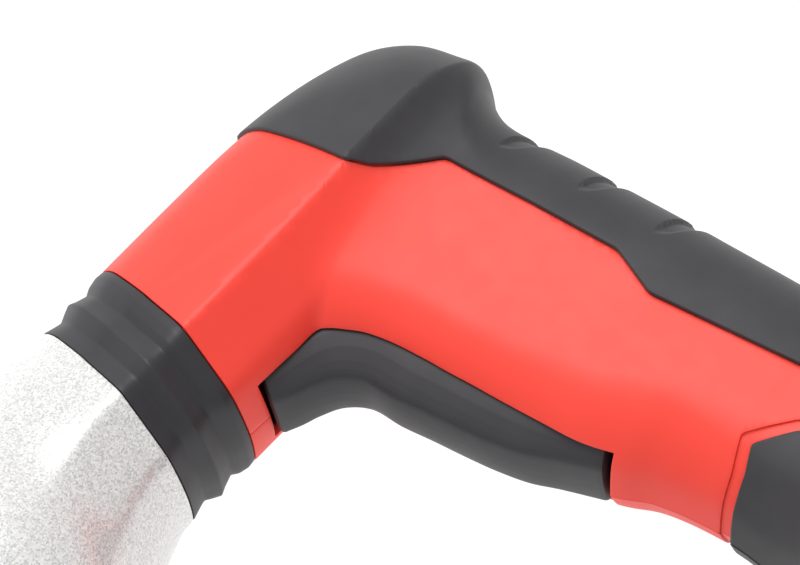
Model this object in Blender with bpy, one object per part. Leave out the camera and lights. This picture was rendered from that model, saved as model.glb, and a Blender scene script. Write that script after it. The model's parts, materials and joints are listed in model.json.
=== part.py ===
"""Battery rescue spreader on its right side: pistol handle, cast hydraulic body and two spreading arms.

Every piece hangs from one empty on the tool axis. In that empty's frame, in millimetres, -x runs along the
barrel to the arms, -y down the grip to the battery and +z out of the left side, which faces up.
Profiles of turned pieces are pairs of a place along the axis and a radius.
"""

import math

import bmesh
import bpy
import numpy as np
from mathutils import Vector

MM = 0.001
SEGMENTS = 22
SHARP_DEG = 35
FAR = 60.0
FLOOR_Z = -40.0
TOOL_AXIS_AT = (140.0, 65.0, -FLOOR_Z)

# Fits and walls
GAP = 0.3
RECESS_FIT = 0.25
PARTING_GAP = 0.15
PAD_PARTING = 0.45
WALL = 2.6
COVER_PROUD = 1.2
PAD_PROUD = 0.7
SKIN_SUNK = 0.5
RECESS_DEPTH = 1.3

# Handle
BARREL_TOP = 26.5
BARREL_BOTTOM = -23.0
RIDGE_Y = -8.5
RIDGE_HALF_WIDTH = 25.1
RIDGE_TOP_SLOPE = 0.30
RIDGE_TOP_CURVE = 0.0065
RIDGE_UNDER_SLOPE = 0.85
GRIP_HALF_WIDTH = 18.6
GRIP_FLARE = 6.5
GRIP_FLARE_FADE = 14.0
GRIP_TAPER = 0.12
GRIP_TAPER_FROM = 51.0
BARREL_BLEND = 2.0
HANDLE_BOX = ((-60.0, -190.0), (160.0, 80.0))
RAIL_CHANNEL = ((12.0, -160.0, -23.5), (98.0, -140.5, 23.5))
FRONT_SHIFT = 2.5
FRONT_SLOPE = 0.156

# Along the handle: back edge x, y, front edge x, y, rounding of the two edges
HANDLE_STATIONS = (
    (6.6, 26.5, -1.1, -23.0, 10, 24),
    (16.0, 26.5, 5.0, -23.4, 10, 24),
    (28.0, 26.4, 11.5, -24.0, 10, 24),
    (43.0, 25.9, 17.0, -25.2, 10, 24),
    (56.5, 24.4, 20.5, -27.5, 12, 24),
    (69.0, 21.2, 22.5, -30.0, 16, 24),
    (79.5, 16.0, 24.0, -33.0, 20, 24),
    (86.0, 8.0, 25.0, -36.5, 24, 24),
    (88.4, -1.5, 25.7, -40.0, 25, 24),
    (88.6, -8.0, 26.2, -43.5, 22, 24),
    (84.8, -13.0, 26.8, -47.5, 20, 24),
    (82.4, -19.0, 27.3, -52.0, 20, 24),
    (82.8, -26.0, 28.0, -57.0, 21, 24),
    (84.6, -37.0, 28.8, -64.0, 22, 24),
    (86.0, -50.0, 29.8, -73.0, 22, 24),
    (87.4, -63.0, 31.0, -82.0, 22, 24),
    (88.5, -75.0, 33.5, -90.0, 22, 22),
    (89.7, -88.0, 37.0, -97.0, 22, 20),
    (90.8, -101.0, 39.3, -107.0, 22, 20),
    (92.2, -115.0, 40.3, -118.0, 20, 18),
    (95.5, -129.0, 39.0, -130.0, 16, 14),
    (102.0, -139.5, 34.5, -140.0, 13, 12),
    (105.0, -148.0, 32.0, -148.0, 12, 12),
)
# Half width of the grip at each station: even down to the foot, where it flares
HALF_WIDTHS = (GRIP_HALF_WIDTH,) * 19 + (18.8, 22.0, 29.5, 33.0)

# Outline of the rear cover seen from the side: it caps the barrel and runs down the back of the grip
COVER_OUTLINE = (
    (46.8, 45.0), (48.9, -8.3), (52.0, -12.0), (63.8, -21.3), (66.7, -41.0), (69.0, -62.0),
    (65.2, -73.5), (70.9, -106.8), (75.0, -128.0), (82.0, -146.0), (130.0, -146.0), (130.0, 45.0),
)
PAD_OUTLINE = (
    (20.0, -113.5), (40.0, -113.5), (47.4, -112.0), (52.2, -110.0), (59.5, -115.7), (66.0, -128.0),
    (70.0, -146.5), (20.0, -146.5),
)

# Screws through the housings: x, y and half of the length they span
SCREW_PLACES = ((26.0, 20.6, 8.0), (61.0, -27.5, 19.0), (59.5, -98.0, 18.5), (60.0, -127.0, 19.5))
SCREW_RADIUS = 1.5
SCREW_HEAD_RADIUS = 2.7
SCREW_HEAD_LENGTH = 2.1
SCREW_SHORT_BY = 5.5
SCREW_HOLE_RADIUS = 1.8
SCREW_SINK_RADIUS = 3.1
POST_RADIUS = 4.0
THIN_POST_RADIUS = 3.4
POST_REACH = 40.0

# Trigger and switch
TRIGGER_HALF_WIDTH = 12.7
TRIGGER_SLOT_HALF_WIDTH = 13.2
TRIGGER_PIVOT = (44.0, -84.0)
TRIGGER_OUTLINE = (
    (4.6, -25.2), (8.5, -27.4), (12.2, -29.0), (16.4, -31.8), (19.4, -36.4), (20.1, -43.3), (21.6, -50.7),
    (23.1, -58.8), (24.5, -65.2), (26.6, -72.0), (29.6, -78.0), (33.0, -85.2), (34.0, -87.4), (40.0, -88.2),
    (49.0, -86.0), (49.0, -80.0), (41.0, -75.0), (38.0, -60.0), (35.0, -45.0), (31.5, -34.0), (26.0, -27.8),
    (16.0, -24.8), (6.0, -24.3),
)
TRIGGER_SLOT = (
    (3.2, -21.0), (36.5, -21.0), (42.5, -40.0), (44.5, -60.0), (47.0, -72.0), (55.0, -76.0), (55.0, -90.5),
    (35.0, -88.8), (10.0, -88.8), (-6.0, -50.0), (-6.0, -24.6), (3.2, -24.6),
)
TRIGGER_HOLLOW = ((26, -42), (36.5, -46), (41, -72), (34, -72))
TRIGGER_HOLLOW_HALF_WIDTH = 10.0
TRIGGER_EDGE = 1.6
TRIGGER_BORE_RADIUS = 2.3
TRIGGER_PIN_RADIUS = 1.9
TRIGGER_PIN_HALF_LENGTH = 14.3
PIN_HOLE_RADIUS = 2.2
PIN_HOLE_HALF_LENGTH = 14.6
PIN_BOSS_RADIUS = 4.6
SPRING_ROOM = ((-6.5, -7.5, -8.5), (14.0, 8.0, 8.5))
SPRING_RADIUS = 3.6
SPRING_WIRE_RADIUS = 0.65
SPRING_HALF_LENGTH = 6.5
SPRING_TURNS = 5
STEPS_A_TURN = 9
SWITCH_BOX = ((51.0, -70.0, -10.4), (76.0, -36.0, 10.4))
SWITCH_Y = -50.0
SWITCH_BORE_RADIUS = 3.3
SWITCH_BORE = (40.0, 62.0)
SWITCH_PLUNGER_RADIUS = 3.0
SWITCH_PLUNGER = (36.8, 56.0)
BOARD_BOX = ((50.0, -122.0, -12.0), (51.8, -96.0, 12.0))
TERMINAL_BOX = ((56.0, -139.6, -12.0), (88.0, -131.0, 12.0))
TERMINAL_SLOTS_Z = (-10.0, -0.8, 8.4)
TERMINAL_SLOT = ((50.0, -150.0), (84.0, -135.0))
TERMINAL_SLOT_WIDTH = 1.6

# Collar and casting
COLLAR_LENGTH = 18.2
COLLAR_PROFILE = (
    (0.3, 0.0), (2.1, 0.2), (6.1, -1.2), (8.7, -0.5), (10.2, 0.3), (12.0, -0.5), (13.7, -1.4), (15.9, -1.0),
    (COLLAR_LENGTH - GAP, -0.4),
)
GEAR_BORE = 16.8
CYLINDER_Y = -6.0
CYLINDER_BORE = 24.3
CYLINDER_BACK = -98.0
CASTING_RADIUS = 39.0
CASTING_FRONT = -192.0
# How far forward, growth of the front ring, share of the circle in the shape, the circle's y and radius
CASTING_STATIONS = (
    (COLLAR_LENGTH, -0.4, 0.0, 0.0, 26.0), (21.5, -0.2, 0.03, 0.0, 26.0), (27.0, 1.0, 0.14, -4.0, 27.0),
    (36.0, 2.6, 0.4, -7.0, 28.5), (45.5, 4.0, 0.85, -8.0, 32.2), (55.0, 4.0, 1.0, -7.5, 36.0),
    (66.0, 4.0, 1.0, -6.3, 38.4), (80.0, 4.0, 1.0, CYLINDER_Y, CASTING_RADIUS),
    (-CASTING_FRONT, 4.0, 1.0, CYLINDER_Y, CASTING_RADIUS),
)
REST_PAD_RADIUS = 21.0
REST_PAD_X = -132.0
HANDLE_FEET = (-102.0, -178.0)
HANDLE_BOSS_RADIUS = 12.0
HANDLE_BOSS_TOP = 36.0
KNOB_X = -70.0
KNOB_BOSS_RADIUS = 11.5
KNOB_BOSS_TOP = 33.5

# Motor, gears and pump
MOTOR_RADIUS = 16.6
MOTOR_CAN = (
    (12, 5.5), (12, MOTOR_RADIUS), (66, MOTOR_RADIUS), (66, 5.5), (62, 5.5), (62, 13.5), (16, 13.5),
    (16, 5.5),
)
MOTOR_ROTOR = ((-21.7, 0), (-21.7, 2.5), (18, 2.5), (18, 12.8), (60, 12.8), (60, 2.5), (72, 2.5), (72, 0))
MOTOR_BEARING = ((12.2, 2.8), (12.2, 5.2), (15.8, 5.2), (15.8, 2.8))
MODULE = 2.0 / 3.0
SUN_TEETH = 12
PLANET_TEETH = 15
RING_TEETH = 42
PLANETS = 3
TOOTH_TOP = 0.5
TOOTH_ROOT = 0.85
TOOTH_SHARE = 0.62
RING_TOOTH_SHARE = 0.9
GEARS_FRONT = -34.0
GEARS_BACK = -22.0
PLANET_BORE = 1.9
CARRIER_RADIUS = 11.6
CARRIER_PLATE = (-38.0, -34.9)
CARRIER_PIN_RADIUS = 1.5
CARRIER_PIN_FRONT = -36.0
CARRIER_SHAFT_RADIUS = 3.5
CARRIER_SHAFT = (-63.0, -37.0)
ECCENTRIC_RADIUS = 6.0
ECCENTRIC_OFFSET = 1.5
ECCENTRIC = (-58.0, -46.0)
PLUNGER_X = -52.0
PLUNGER_BORE_RADIUS = 4.3
PLUNGER_BORE = (5.0, 23.0)
PUMP_PLUNGER = ((11.2, 0), (11.2, 2.2), (12.4, 4.0), (21, 4.0), (21, 0))
OIL_BLADDER = ((-88.5, 9.5), (-88.5, 15.5), (-86.5, 16.4), (-68, 16.4), (-66, 15.5), (-66, 9.5))

# Cylinder
PISTON_RADIUS = CYLINDER_BORE - GAP
PISTON = (
    (-128, 0), (-128, PISTON_RADIUS), (-122, PISTON_RADIUS), (-122, PISTON_RADIUS - 3),
    (-117, PISTON_RADIUS - 3), (-117, PISTON_RADIUS), (-110, PISTON_RADIUS), (-110, 0),
)
PISTON_SEAL = (
    (-121.7, PISTON_RADIUS - 2.7), (-121.7, PISTON_RADIUS - 0.1), (-117.3, PISTON_RADIUS - 0.1),
    (-117.3, PISTON_RADIUS - 2.7),
)
PISTON_ROD = ((-206.0, 0), (-206.0, 12), (-128.3, 12), (-128.3, 0))
CYLINDER_GLAND = ((-191.5, 12.4), (-191.5, PISTON_RADIUS), (-166, PISTON_RADIUS), (-166, 14.5), (-172, 12.4))

# Yoke, arms and links
YOKE_HALF_WIDTH = 46.0
YOKE_HALF_THICK = 22.0
YOKE_BACK = CASTING_FRONT - GAP
YOKE_BASE_RADIUS = 38.0
YOKE_SLOT_FROM = -205.5
YOKE_ROD_HOLE = 12.5
FORK_HALF_GAP = 12.8
ARM_HALF_THICK = 12.4
ARM_PIVOT = (-250.0, 33.5)
ARM_PIN_HOLE = 8.3
ARM_PIN = ((-24.5, 0), (-24.5, 8), (22.4, 8), (22.4, 11), (25.4, 11), (25.4, 0))
ARM_INNER = -ARM_PIVOT[1] + 0.8
ARM_ROOT_RADIUS = 12.2
ARM_LEVER_RADIUS = 8.3
ARM_EDGE = 2.0
ARM_OUTER_SIDE = ((-24, 13.5), (-60, 4.0), (-100, -10.0), (-112, -13.5))
ARM_INNER_SIDE = ((-112, ARM_INNER), (-60, ARM_INNER), (-30, ARM_INNER), (-16, ARM_INNER + 4))
LEVER_LENGTH = 24.0
LEVER_REST_DEG = 12.0
LEVER_SLOT_FROM = -11.0
LINK_LENGTH = 24.0
LINK_HALF_THICK = 4.0
LINK_RADIUS = 6.6
LINK_SLOT_HALF = LINK_HALF_THICK + GAP
LINK_PIN = ((-11.5, 0), (-11.5, 4), (11.5, 4), (11.5, 0))
PIN_FIT_RADIUS = 4.3
OPEN_EYE_RADIUS = 5.1
CROSSHEAD_PINS_Y = 9.5
CROSSHEAD_BOX = ((-228.0, -18.5, -11.9), (-206.3, 18.5, 11.9))
CROSSHEAD_SLOT = ((-235.0, -17.0), (-213.0, 17.0))
CROSSHEAD_EDGE = 1.5

# Tips
TIP_X = -392.0
TIP_END = TIP_X - ARM_PIVOT[0]
TIP_ROOT = -90.6
TIP_OUTER_SIDE = ((TIP_ROOT, -6.5), (-112, -13.4), (-126, -18.5), (TIP_END, ARM_INNER + 7.0))
TIP_HALF_THICK = ARM_HALF_THICK + 1.5
TIP_TEETH = 7
TIP_TOOTH_PITCH = 4.0
TONGUE_HALF_THICK = 5.3
TIP_SLOT_HALF = 5.6
TIP_BOLT_AT = (-101.5, -21.5)
TIP_BOLT_HOLE = 3.4
TIP_BOLT = (
    (-12.5, 0), (-12.5, 3.1), (ARM_HALF_THICK + 1.8, 3.1), (ARM_HALF_THICK + 1.8, 5.2),
    (ARM_HALF_THICK + 5.0, 5.2), (ARM_HALF_THICK + 5.0, 0),
)

# Battery
BATTERY_HALF_WIDTH = 40.0
BATTERY_FRONT = 2.0
BATTERY_BACK = 112.0
BATTERY_TOP = -149.5
BATTERY_SPLIT = -178.0
BATTERY_BOTTOM = -214.0
BATTERY_WALL = 2.2
BATTERY_CORNER = 8.0
BATTERY_INNER_CORNER = 6.0
BATTERY_RAIL = ((34.0, BATTERY_TOP - 3, -22.5), (97.5, -141.0, 22.5))
BATTERY_OPEN_BY = 5.0
CELLS = 5
CELLS_A_ROW = 3
CELL_PITCH = 24.0
CELL_ROW_STEP = 24.5
CELL_ABOVE_BASE = 14.0
BATTERY_CELL = ((-35, 0), (-35, 10.5), (33.5, 10.5), (33.5, 4.0), (35, 4.0), (35, 0))
LATCH_X = (9.0, 27.0)
LATCH_Y = (-170.0, -157.0)
LATCH_Z = (30.5, 39.4)
LATCH_WINDOW_Z = (30.0, 50.0)
LATCH_FIT = 0.4
LATCH_EDGE = 1.0

# Carrying handle and direction knob
BOW_LOW = 42.0
BOW_HIGH = 76.0
BOW_BEND = 14.0
BOW_RADIUS = 8.0
BOW_SIDES = 16
BOW_FOOT_RADIUS = 11.0
BOW_FOOT_TOP = 46.0
DIRECTION_KNOB = ((33.8, 0), (33.8, 10.5), (36, 11.5), (41, 10.5), (42, 9.5), (42, 0))
KNOB_BAR = ((-8.5, 40.0, -2.2), (8.5, 46.0, 2.2))

# Base colour, roughness and metallic of each finish
RED = ((0.84, 0.045, 0.03), 0.45)
BLACK = ((0.02, 0.02, 0.022), 0.55)
STEEL = ((0.55, 0.56, 0.58), 0.3, 1.0)
ALLOY = ((0.62, 0.63, 0.64), 0.45, 1.0)
COPPER = ((0.75, 0.35, 0.18), 0.4, 1.0)
BOARD_GREEN = ((0.02, 0.16, 0.06), 0.5)
CELL_BLUE = ((0.1, 0.25, 0.5), 0.4)


def clear_scene():
    """Remove whatever the file opened with."""
    for item in list(bpy.data.objects):
        bpy.data.objects.remove(item, do_unlink=True)


def finish(name, colour, roughness, metallic=0.0):
    """A plain material with the piece's colour and sheen."""
    material = bpy.data.materials.new(name)
    material.use_nodes = True
    shader = material.node_tree.nodes["Principled BSDF"]
    shader.inputs["Base Color"].default_value = (*colour, 1.0)
    shader.inputs["Roughness"].default_value = roughness
    shader.inputs["Metallic"].default_value = metallic
    return material


def make(name, points, faces, look, at=(0.0, 0.0, 0.0)):
    """One object on the tool axis empty; its points, in mm, are measured from the place it stands on."""
    mesh = bpy.data.meshes.new(name)
    mesh.from_pydata([Vector(p) * MM for p in points], [], faces)
    builder = bmesh.new()
    builder.from_mesh(mesh)
    bmesh.ops.recalc_face_normals(builder, faces=builder.faces)
    builder.to_mesh(mesh)
    builder.free()
    mesh.shade_smooth()
    mesh.set_sharp_from_angle(angle=math.radians(SHARP_DEG))
    item = bpy.data.objects.new(name, mesh)
    item.location = Vector(at) * MM
    item.parent = TOOL_AXIS
    item.data.materials.append(finish(name, *look))
    bpy.context.collection.objects.link(item)
    return item


def as_cutter(item):
    """Hide a solid that only shapes its neighbours."""
    item.hide_render = True
    item.display_type = "WIRE"
    return item


def shape_with(item, operation, *tools):
    """Run one Boolean for each tool; a tool is hidden and stays out of the finished part."""
    for tool in tools:
        step = item.modifiers.new(tool.name, "BOOLEAN")
        step.operation = operation
        step.solver = "EXACT"
        step.object = as_cutter(tool)
    return item


def soften(item, width, segments=1, angle=40):
    """Round the edges of a piece."""
    bevel = item.modifiers.new("edges", "BEVEL")
    bevel.width = width * MM
    bevel.segments = segments
    bevel.limit_method = "ANGLE"
    bevel.angle_limit = math.radians(angle)
    return item


def prism(name, outline, low, high, look=BLACK, at=(0.0, 0.0, 0.0), axis="z"):
    """An outline across the axis drawn out between two heights; its pairs keep x, y, z order."""
    count = len(outline)
    place = {
        "x": lambda a, b, h: (h, a, b),
        "y": lambda a, b, h: (a, h, b),
        "z": lambda a, b, h: (a, b, h),
    }[axis]
    points = [place(a, b, low) for a, b in outline]
    points += [place(a, b, high) for a, b in outline]
    faces = [list(range(count))[::-1], [i + count for i in range(count)]]
    faces += [[i, (i + 1) % count, (i + 1) % count + count, i + count] for i in range(count)]
    return make(name, points, faces, look, at)


def box(name, low, high, look=BLACK, at=(0.0, 0.0, 0.0)):
    """A box between two corners."""
    outline = ((low[0], low[1]), (high[0], low[1]), (high[0], high[1]), (low[0], high[1]))
    return prism(name, outline, low[2], high[2], look, at)


def circle(radius, segments=SEGMENTS, centre=(0.0, 0.0), start=0.0):
    """Points round a circle."""
    turns = [start + 2 * math.pi * i / segments for i in range(segments)]
    return [(centre[0] + radius * math.cos(t), centre[1] + radius * math.sin(t)) for t in turns]


def rod(name, radius, low, high, look=STEEL, at=(0.0, 0.0, 0.0), axis="z", segments=SEGMENTS):
    """A round bar along an axis."""
    return prism(name, circle(radius, segments), low, high, look, at, axis)


def turned(name, profile, look=STEEL, at=(0.0, 0.0, 0.0), axis="x", segments=SEGMENTS):
    """A closed profile of (along the axis, radius) pairs swept round the axis."""
    place = {
        "x": lambda a, c, s: (a, c, s),
        "y": lambda a, c, s: (s, a, c),
        "z": lambda a, c, s: (c, s, a),
    }[axis]
    points, faces, rings = [], [], []
    for along, radius in profile:
        if radius == 0:
            rings.append([len(points)] * segments)
            points.append(place(along, 0.0, 0.0))
            continue
        rings.append(list(range(len(points), len(points) + segments)))
        points += [place(along, c, s) for c, s in circle(radius, segments)]
    closing = [] if profile[0][1] == 0 else [(len(profile) - 1, 0)]
    for first, second in [(i, i + 1) for i in range(len(profile) - 1)] + closing:
        for i in range(segments):
            j = (i + 1) % segments
            corners = [rings[first][i], rings[first][j], rings[second][j], rings[second][i]]
            corners = list(dict.fromkeys(corners))
            if len(corners) > 2:
                faces.append(corners)
    return make(name, points, faces, look, at)


def swept(name, path, radius, look, sides=10, at=(0.0, 0.0, 0.0)):
    """A round bar along a path of points, with flat ends."""
    path = [Vector(p) for p in path]
    points, faces, side = [], [], None
    for i, here in enumerate(path):
        ahead = (path[min(i + 1, len(path) - 1)] - path[max(i - 1, 0)]).normalized()
        if side is None:
            side = ahead.orthogonal().normalized()
        side = (side - ahead * side.dot(ahead)).normalized()
        other = ahead.cross(side)
        points += [here + side * c + other * s for c, s in circle(radius, sides)]
    for i in range(len(path) - 1):
        for j in range(sides):
            k = (j + 1) % sides
            faces.append([i * sides + j, i * sides + k, (i + 1) * sides + k, (i + 1) * sides + j])
    faces.append(list(range(sides))[::-1])
    faces.append([(len(path) - 1) * sides + j for j in range(sides)])
    return make(name, points, faces, look, at)


def arc(centre, radius, first_deg, last_deg, steps):
    """Points along part of a circle, both ends included."""
    turns = [math.radians(first_deg + (last_deg - first_deg) * i / steps) for i in range(steps + 1)]
    return [(centre[0] + radius * math.cos(t), centre[1] + radius * math.sin(t)) for t in turns]


def round_edge(x):
    """A quarter circle from 0 to 1."""
    x = np.clip(x, 0, 1)
    return np.sqrt(np.maximum(0, 1 - (1 - x) ** 2))


def smooth_max(a, b, blend):
    """The larger of two fields, with the crease between them filled."""
    h = np.clip(0.5 + 0.5 * (a - b) / blend, 0, 1)
    return b + (a - b) * h + blend * h * (1 - h)


def handle_half_width(x, y, from_back, from_front, station, grow):
    """Half the handle's width, grown by grow mm: a ridged barrel that blends into the rounded grip."""
    depth = BARREL_TOP - y
    ridge = BARREL_TOP - RIDGE_Y
    upper = RIDGE_HALF_WIDTH - RIDGE_TOP_SLOPE * (ridge - depth) - RIDGE_TOP_CURVE * (ridge - depth) ** 2
    upper = np.maximum(upper, 6.0)
    lower = RIDGE_HALF_WIDTH - RIDGE_UNDER_SLOPE * (depth - ridge)
    barrel = np.where(depth > ridge, lower, upper) + grow
    barrel = np.maximum(barrel, 0.0) * round_edge((y + 25 + grow) / 6)
    below = np.clip(RIDGE_Y - y, 0, None) / GRIP_FLARE_FADE
    taper = GRIP_TAPER * np.clip(GRIP_TAPER_FROM - x, 0, None)
    grip = station[..., 6] + GRIP_FLARE * np.exp(-2 * below) - taper
    grip = np.where(y > RIDGE_Y, np.minimum(grip, upper), grip) + grow
    grip = grip * round_edge(from_front / (station[..., 5] + grow))
    width = smooth_max(barrel, grip, BARREL_BLEND)
    return width * round_edge(from_back / (station[..., 4] + grow)) * round_edge(from_front / 2.5)


def stations_at(rows):
    """Stations read evenly from a smooth curve through the handle's stations."""
    given = np.column_stack([HANDLE_STATIONS, HALF_WIDTHS]).astype(float)
    t = np.linspace(0, len(given) - 1, rows)
    i = np.clip(t.astype(int), 0, len(given) - 2)
    f = (t - i)[:, None]
    a, b = given[np.maximum(i - 1, 0)], given[i]
    c, d = given[i + 1], given[np.minimum(i + 2, len(given) - 1)]
    return 0.5 * (2 * b + (c - a) * f + (2 * a - 5 * b + 4 * c - d) * f**2 + (3 * b - a - 3 * c + d) * f**3)


def handle_rings(rows, columns, grow=0.0):
    """Closed rings round the handle: up the left side from back to front, then back along the right side."""
    stations = stations_at(rows)[:, None, :]
    back, front = stations[..., 0:2], stations[..., 2:4]
    outward = (back - front) / np.linalg.norm(back - front, axis=2, keepdims=True)
    back, front = back + outward * grow, front - outward * grow
    s = ((1 - np.cos(np.linspace(0, np.pi, columns))) / 2)[None, :, None]
    flat = back * (1 - s) + front * s
    length = np.linalg.norm(back - front, axis=2)
    from_back, from_front = length * s[..., 0], length * (1 - s[..., 0])
    width = handle_half_width(flat[..., 0], flat[..., 1], from_back, from_front, stations, grow)
    left = np.concatenate([flat, width[..., None]], axis=2)
    right = left[:, -2:0:-1] * np.array([1, 1, -1])
    return np.concatenate([left, right], axis=1)


def ring_solid(name, rings, look):
    """A closed solid through rings of points with flat ends; the two sides' triangles mirror each other."""
    rows, count = rings.shape[:2]
    faces = []
    for i in range(rows - 1):
        for j in range(count):
            k = (j + 1) % count
            a, b, c, d = i * count + j, i * count + k, (i + 1) * count + k, (i + 1) * count + j
            faces += [[a, b, c], [a, c, d]] if j < count // 2 else [[a, b, d], [b, c, d]]
    faces += [list(range(count)), [(rows - 1) * count + j for j in range(count)]]
    return make(name, rings.reshape(-1, 3).tolist(), faces, look)


def handle_solid(name, grow, look=RED, rows=28, columns=10, reach=0.0):
    """The handle's solid form, grown by some mm, with its two ends pushed out by reach."""
    rings = handle_rings(rows, columns, grow)
    rings[0] += np.array([-reach, 0, 0])
    rings[-1] += np.array([0, -reach, 0])
    return ring_solid(name, rings, look)


def half_space(name, side):
    """A large box on one side of the parting plane."""
    low, high = sorted((side * PARTING_GAP, side * 80.0))
    (x_low, y_low), (x_high, y_high) = HANDLE_BOX
    return box(name, (x_low, y_low, low), (x_high, y_high, high))


def grown(outline, amount):
    """An outline with each of its corners moved out by an amount."""
    points = [Vector(p) for p in outline]
    area = sum(a.x * b.y - b.x * a.y for a, b in zip(points, points[1:] + points[:1]))
    sign = 1 if area > 0 else -1
    result = []
    for i, here in enumerate(points):
        before = (here - points[i - 1]).normalized()
        after = (points[(i + 1) % len(points)] - here).normalized()
        normals = [Vector((edge.y, -edge.x)) * sign for edge in (before, after)]
        bisector = (normals[0] + normals[1]).normalized()
        result.append(here + bisector * amount / max(0.3, bisector.dot(normals[0])))
    return [tuple(p) for p in result]


def rail_channel(name):
    """The space under the foot that the battery's rail slides through."""
    return box(name, *RAIL_CHANNEL)


def cover_recess(name):
    """The skin that a shell gives up to the rear cover."""
    ring = handle_solid(name, 2.0, reach=6.0)
    shape_with(ring, "INTERSECT", prism(name + "_outline", grown(COVER_OUTLINE, RECESS_FIT), -FAR, FAR))
    return shape_with(ring, "DIFFERENCE", handle_solid(name + "_core", -RECESS_DEPTH))


def foot_skin(name, inner, outer, grow, low, high):
    """The skin of the handle's foot inside the pad's outline, between two heights."""
    ring = handle_solid(name, outer, BLACK, reach=5.0)
    shape_with(ring, "INTERSECT", prism(name + "_area", grown(PAD_OUTLINE, grow), low, high))
    return shape_with(ring, "DIFFERENCE", handle_solid(name + "_inside", inner, reach=5.0))


def screw_post(name, x, y, reach):
    """The post inside a shell that a screw runs through; it is thin where the barrel is narrow."""
    radius = POST_RADIUS if reach > 10 else THIN_POST_RADIUS
    return rod(name, radius, -POST_REACH, POST_REACH, RED, (x, y, 0), segments=14)


def screw_hole(name, x, y, reach):
    """The stepped hole for a screw and its head, open on the right side only."""
    head_floor = -reach + 2.6
    hole = [
        (-reach - 12, 0), (-reach - 12, SCREW_SINK_RADIUS), (head_floor, SCREW_SINK_RADIUS),
        (head_floor, SCREW_HOLE_RADIUS), (reach - 5, SCREW_HOLE_RADIUS), (reach - 5, 0),
    ]
    return turned(name, hole, RED, (x, y, 0), "z", 14)


def make_shell(name, side):
    """One moulded half of the handle, hollow, with its posts, recesses, trigger slot and holes."""
    pivot = (*TRIGGER_PIVOT, 0)
    shell = handle_solid(name, 0.0)
    cavity = handle_solid(name + "_cavity", -WALL, reach=8.0)
    posts = [screw_post(f"{name}_post_{i}", *place) for i, place in enumerate(SCREW_PLACES)]
    boss = rod(name + "_pin_boss", PIN_BOSS_RADIUS, -POST_REACH, POST_REACH, RED, pivot, segments=16)
    shape_with(cavity, "DIFFERENCE", *posts, boss)
    slot = prism(name + "_slot", TRIGGER_SLOT, -TRIGGER_SLOT_HALF_WIDTH, TRIGGER_SLOT_HALF_WIDTH)
    pad_recess = foot_skin(name + "_pad_recess", -RECESS_DEPTH, 1.8, RECESS_FIT, -FAR, FAR)
    length = PIN_HOLE_HALF_LENGTH
    pin_hole = rod(name + "_pin_hole", PIN_HOLE_RADIUS, -length, length, RED, pivot, segments=16)
    holes = [screw_hole(f"{name}_hole_{i}", *place) for i, place in enumerate(SCREW_PLACES)]
    cuts = (cavity, cover_recess(name + "_recess"), slot, pad_recess, rail_channel(name + "_rail"), pin_hole)
    shape_with(shell, "DIFFERENCE", *cuts, *holes)
    shape_with(shell, "INTERSECT", half_space(name + "_half", side))


def make_handle():
    """Two moulded shells, the soft cover on their back and the rubber pads on the foot."""
    for side, name in ((1, "left_housing"), (-1, "right_housing")):
        make_shell(name, side)
    cover = handle_solid("rear_cover", COVER_PROUD, BLACK)
    shape_with(cover, "INTERSECT", prism("cover_outline", COVER_OUTLINE, -FAR, FAR))
    shape_with(cover, "DIFFERENCE", handle_solid("cover_core", -SKIN_SUNK), rail_channel("cover_rail"))
    for side, name in ((1, "left_foot_pad"), (-1, "right_foot_pad")):
        low, high = sorted((side * PAD_PARTING, side * FAR))
        pad = foot_skin(name, -SKIN_SUNK, PAD_PROUD, 0.0, low, high)
        shape_with(pad, "DIFFERENCE", rail_channel(name + "_rail"))


def scaled_ring(grow, advance, roundness=0.0, centre_y=0.0, radius=1.0, columns=11):
    """The barrel's front edge grown by grow mm, moved forward, and turned by degrees into a circle."""
    ring = handle_rings(2, columns)[0]
    middle = np.array([0.0, (BARREL_TOP + BARREL_BOTTOM) / 2, 0.0])
    shape = middle + (ring - middle) * (1 + grow / 25.0)
    turn = np.linspace(0, 2 * np.pi, len(ring), endpoint=False)
    round_shape = np.stack([turn * 0, centre_y + radius * np.cos(turn), radius * np.sin(turn)], axis=1)
    shape = shape * (1 - roundness) + round_shape * roundness
    shape[:, 0] = (FRONT_SHIFT + FRONT_SLOPE * shape[:, 1]) * (1 - roundness) - advance
    return shape


def make_collar():
    """The twin-groove collar between the moulded barrel and the casting."""
    rings = np.array([scaled_ring(grow, along) for along, grow in COLLAR_PROFILE])
    collar = ring_solid("collar", rings, BLACK)
    shape_with(collar, "DIFFERENCE", rod("collar_bore", GEAR_BORE, -60, 40, axis="x"))


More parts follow.
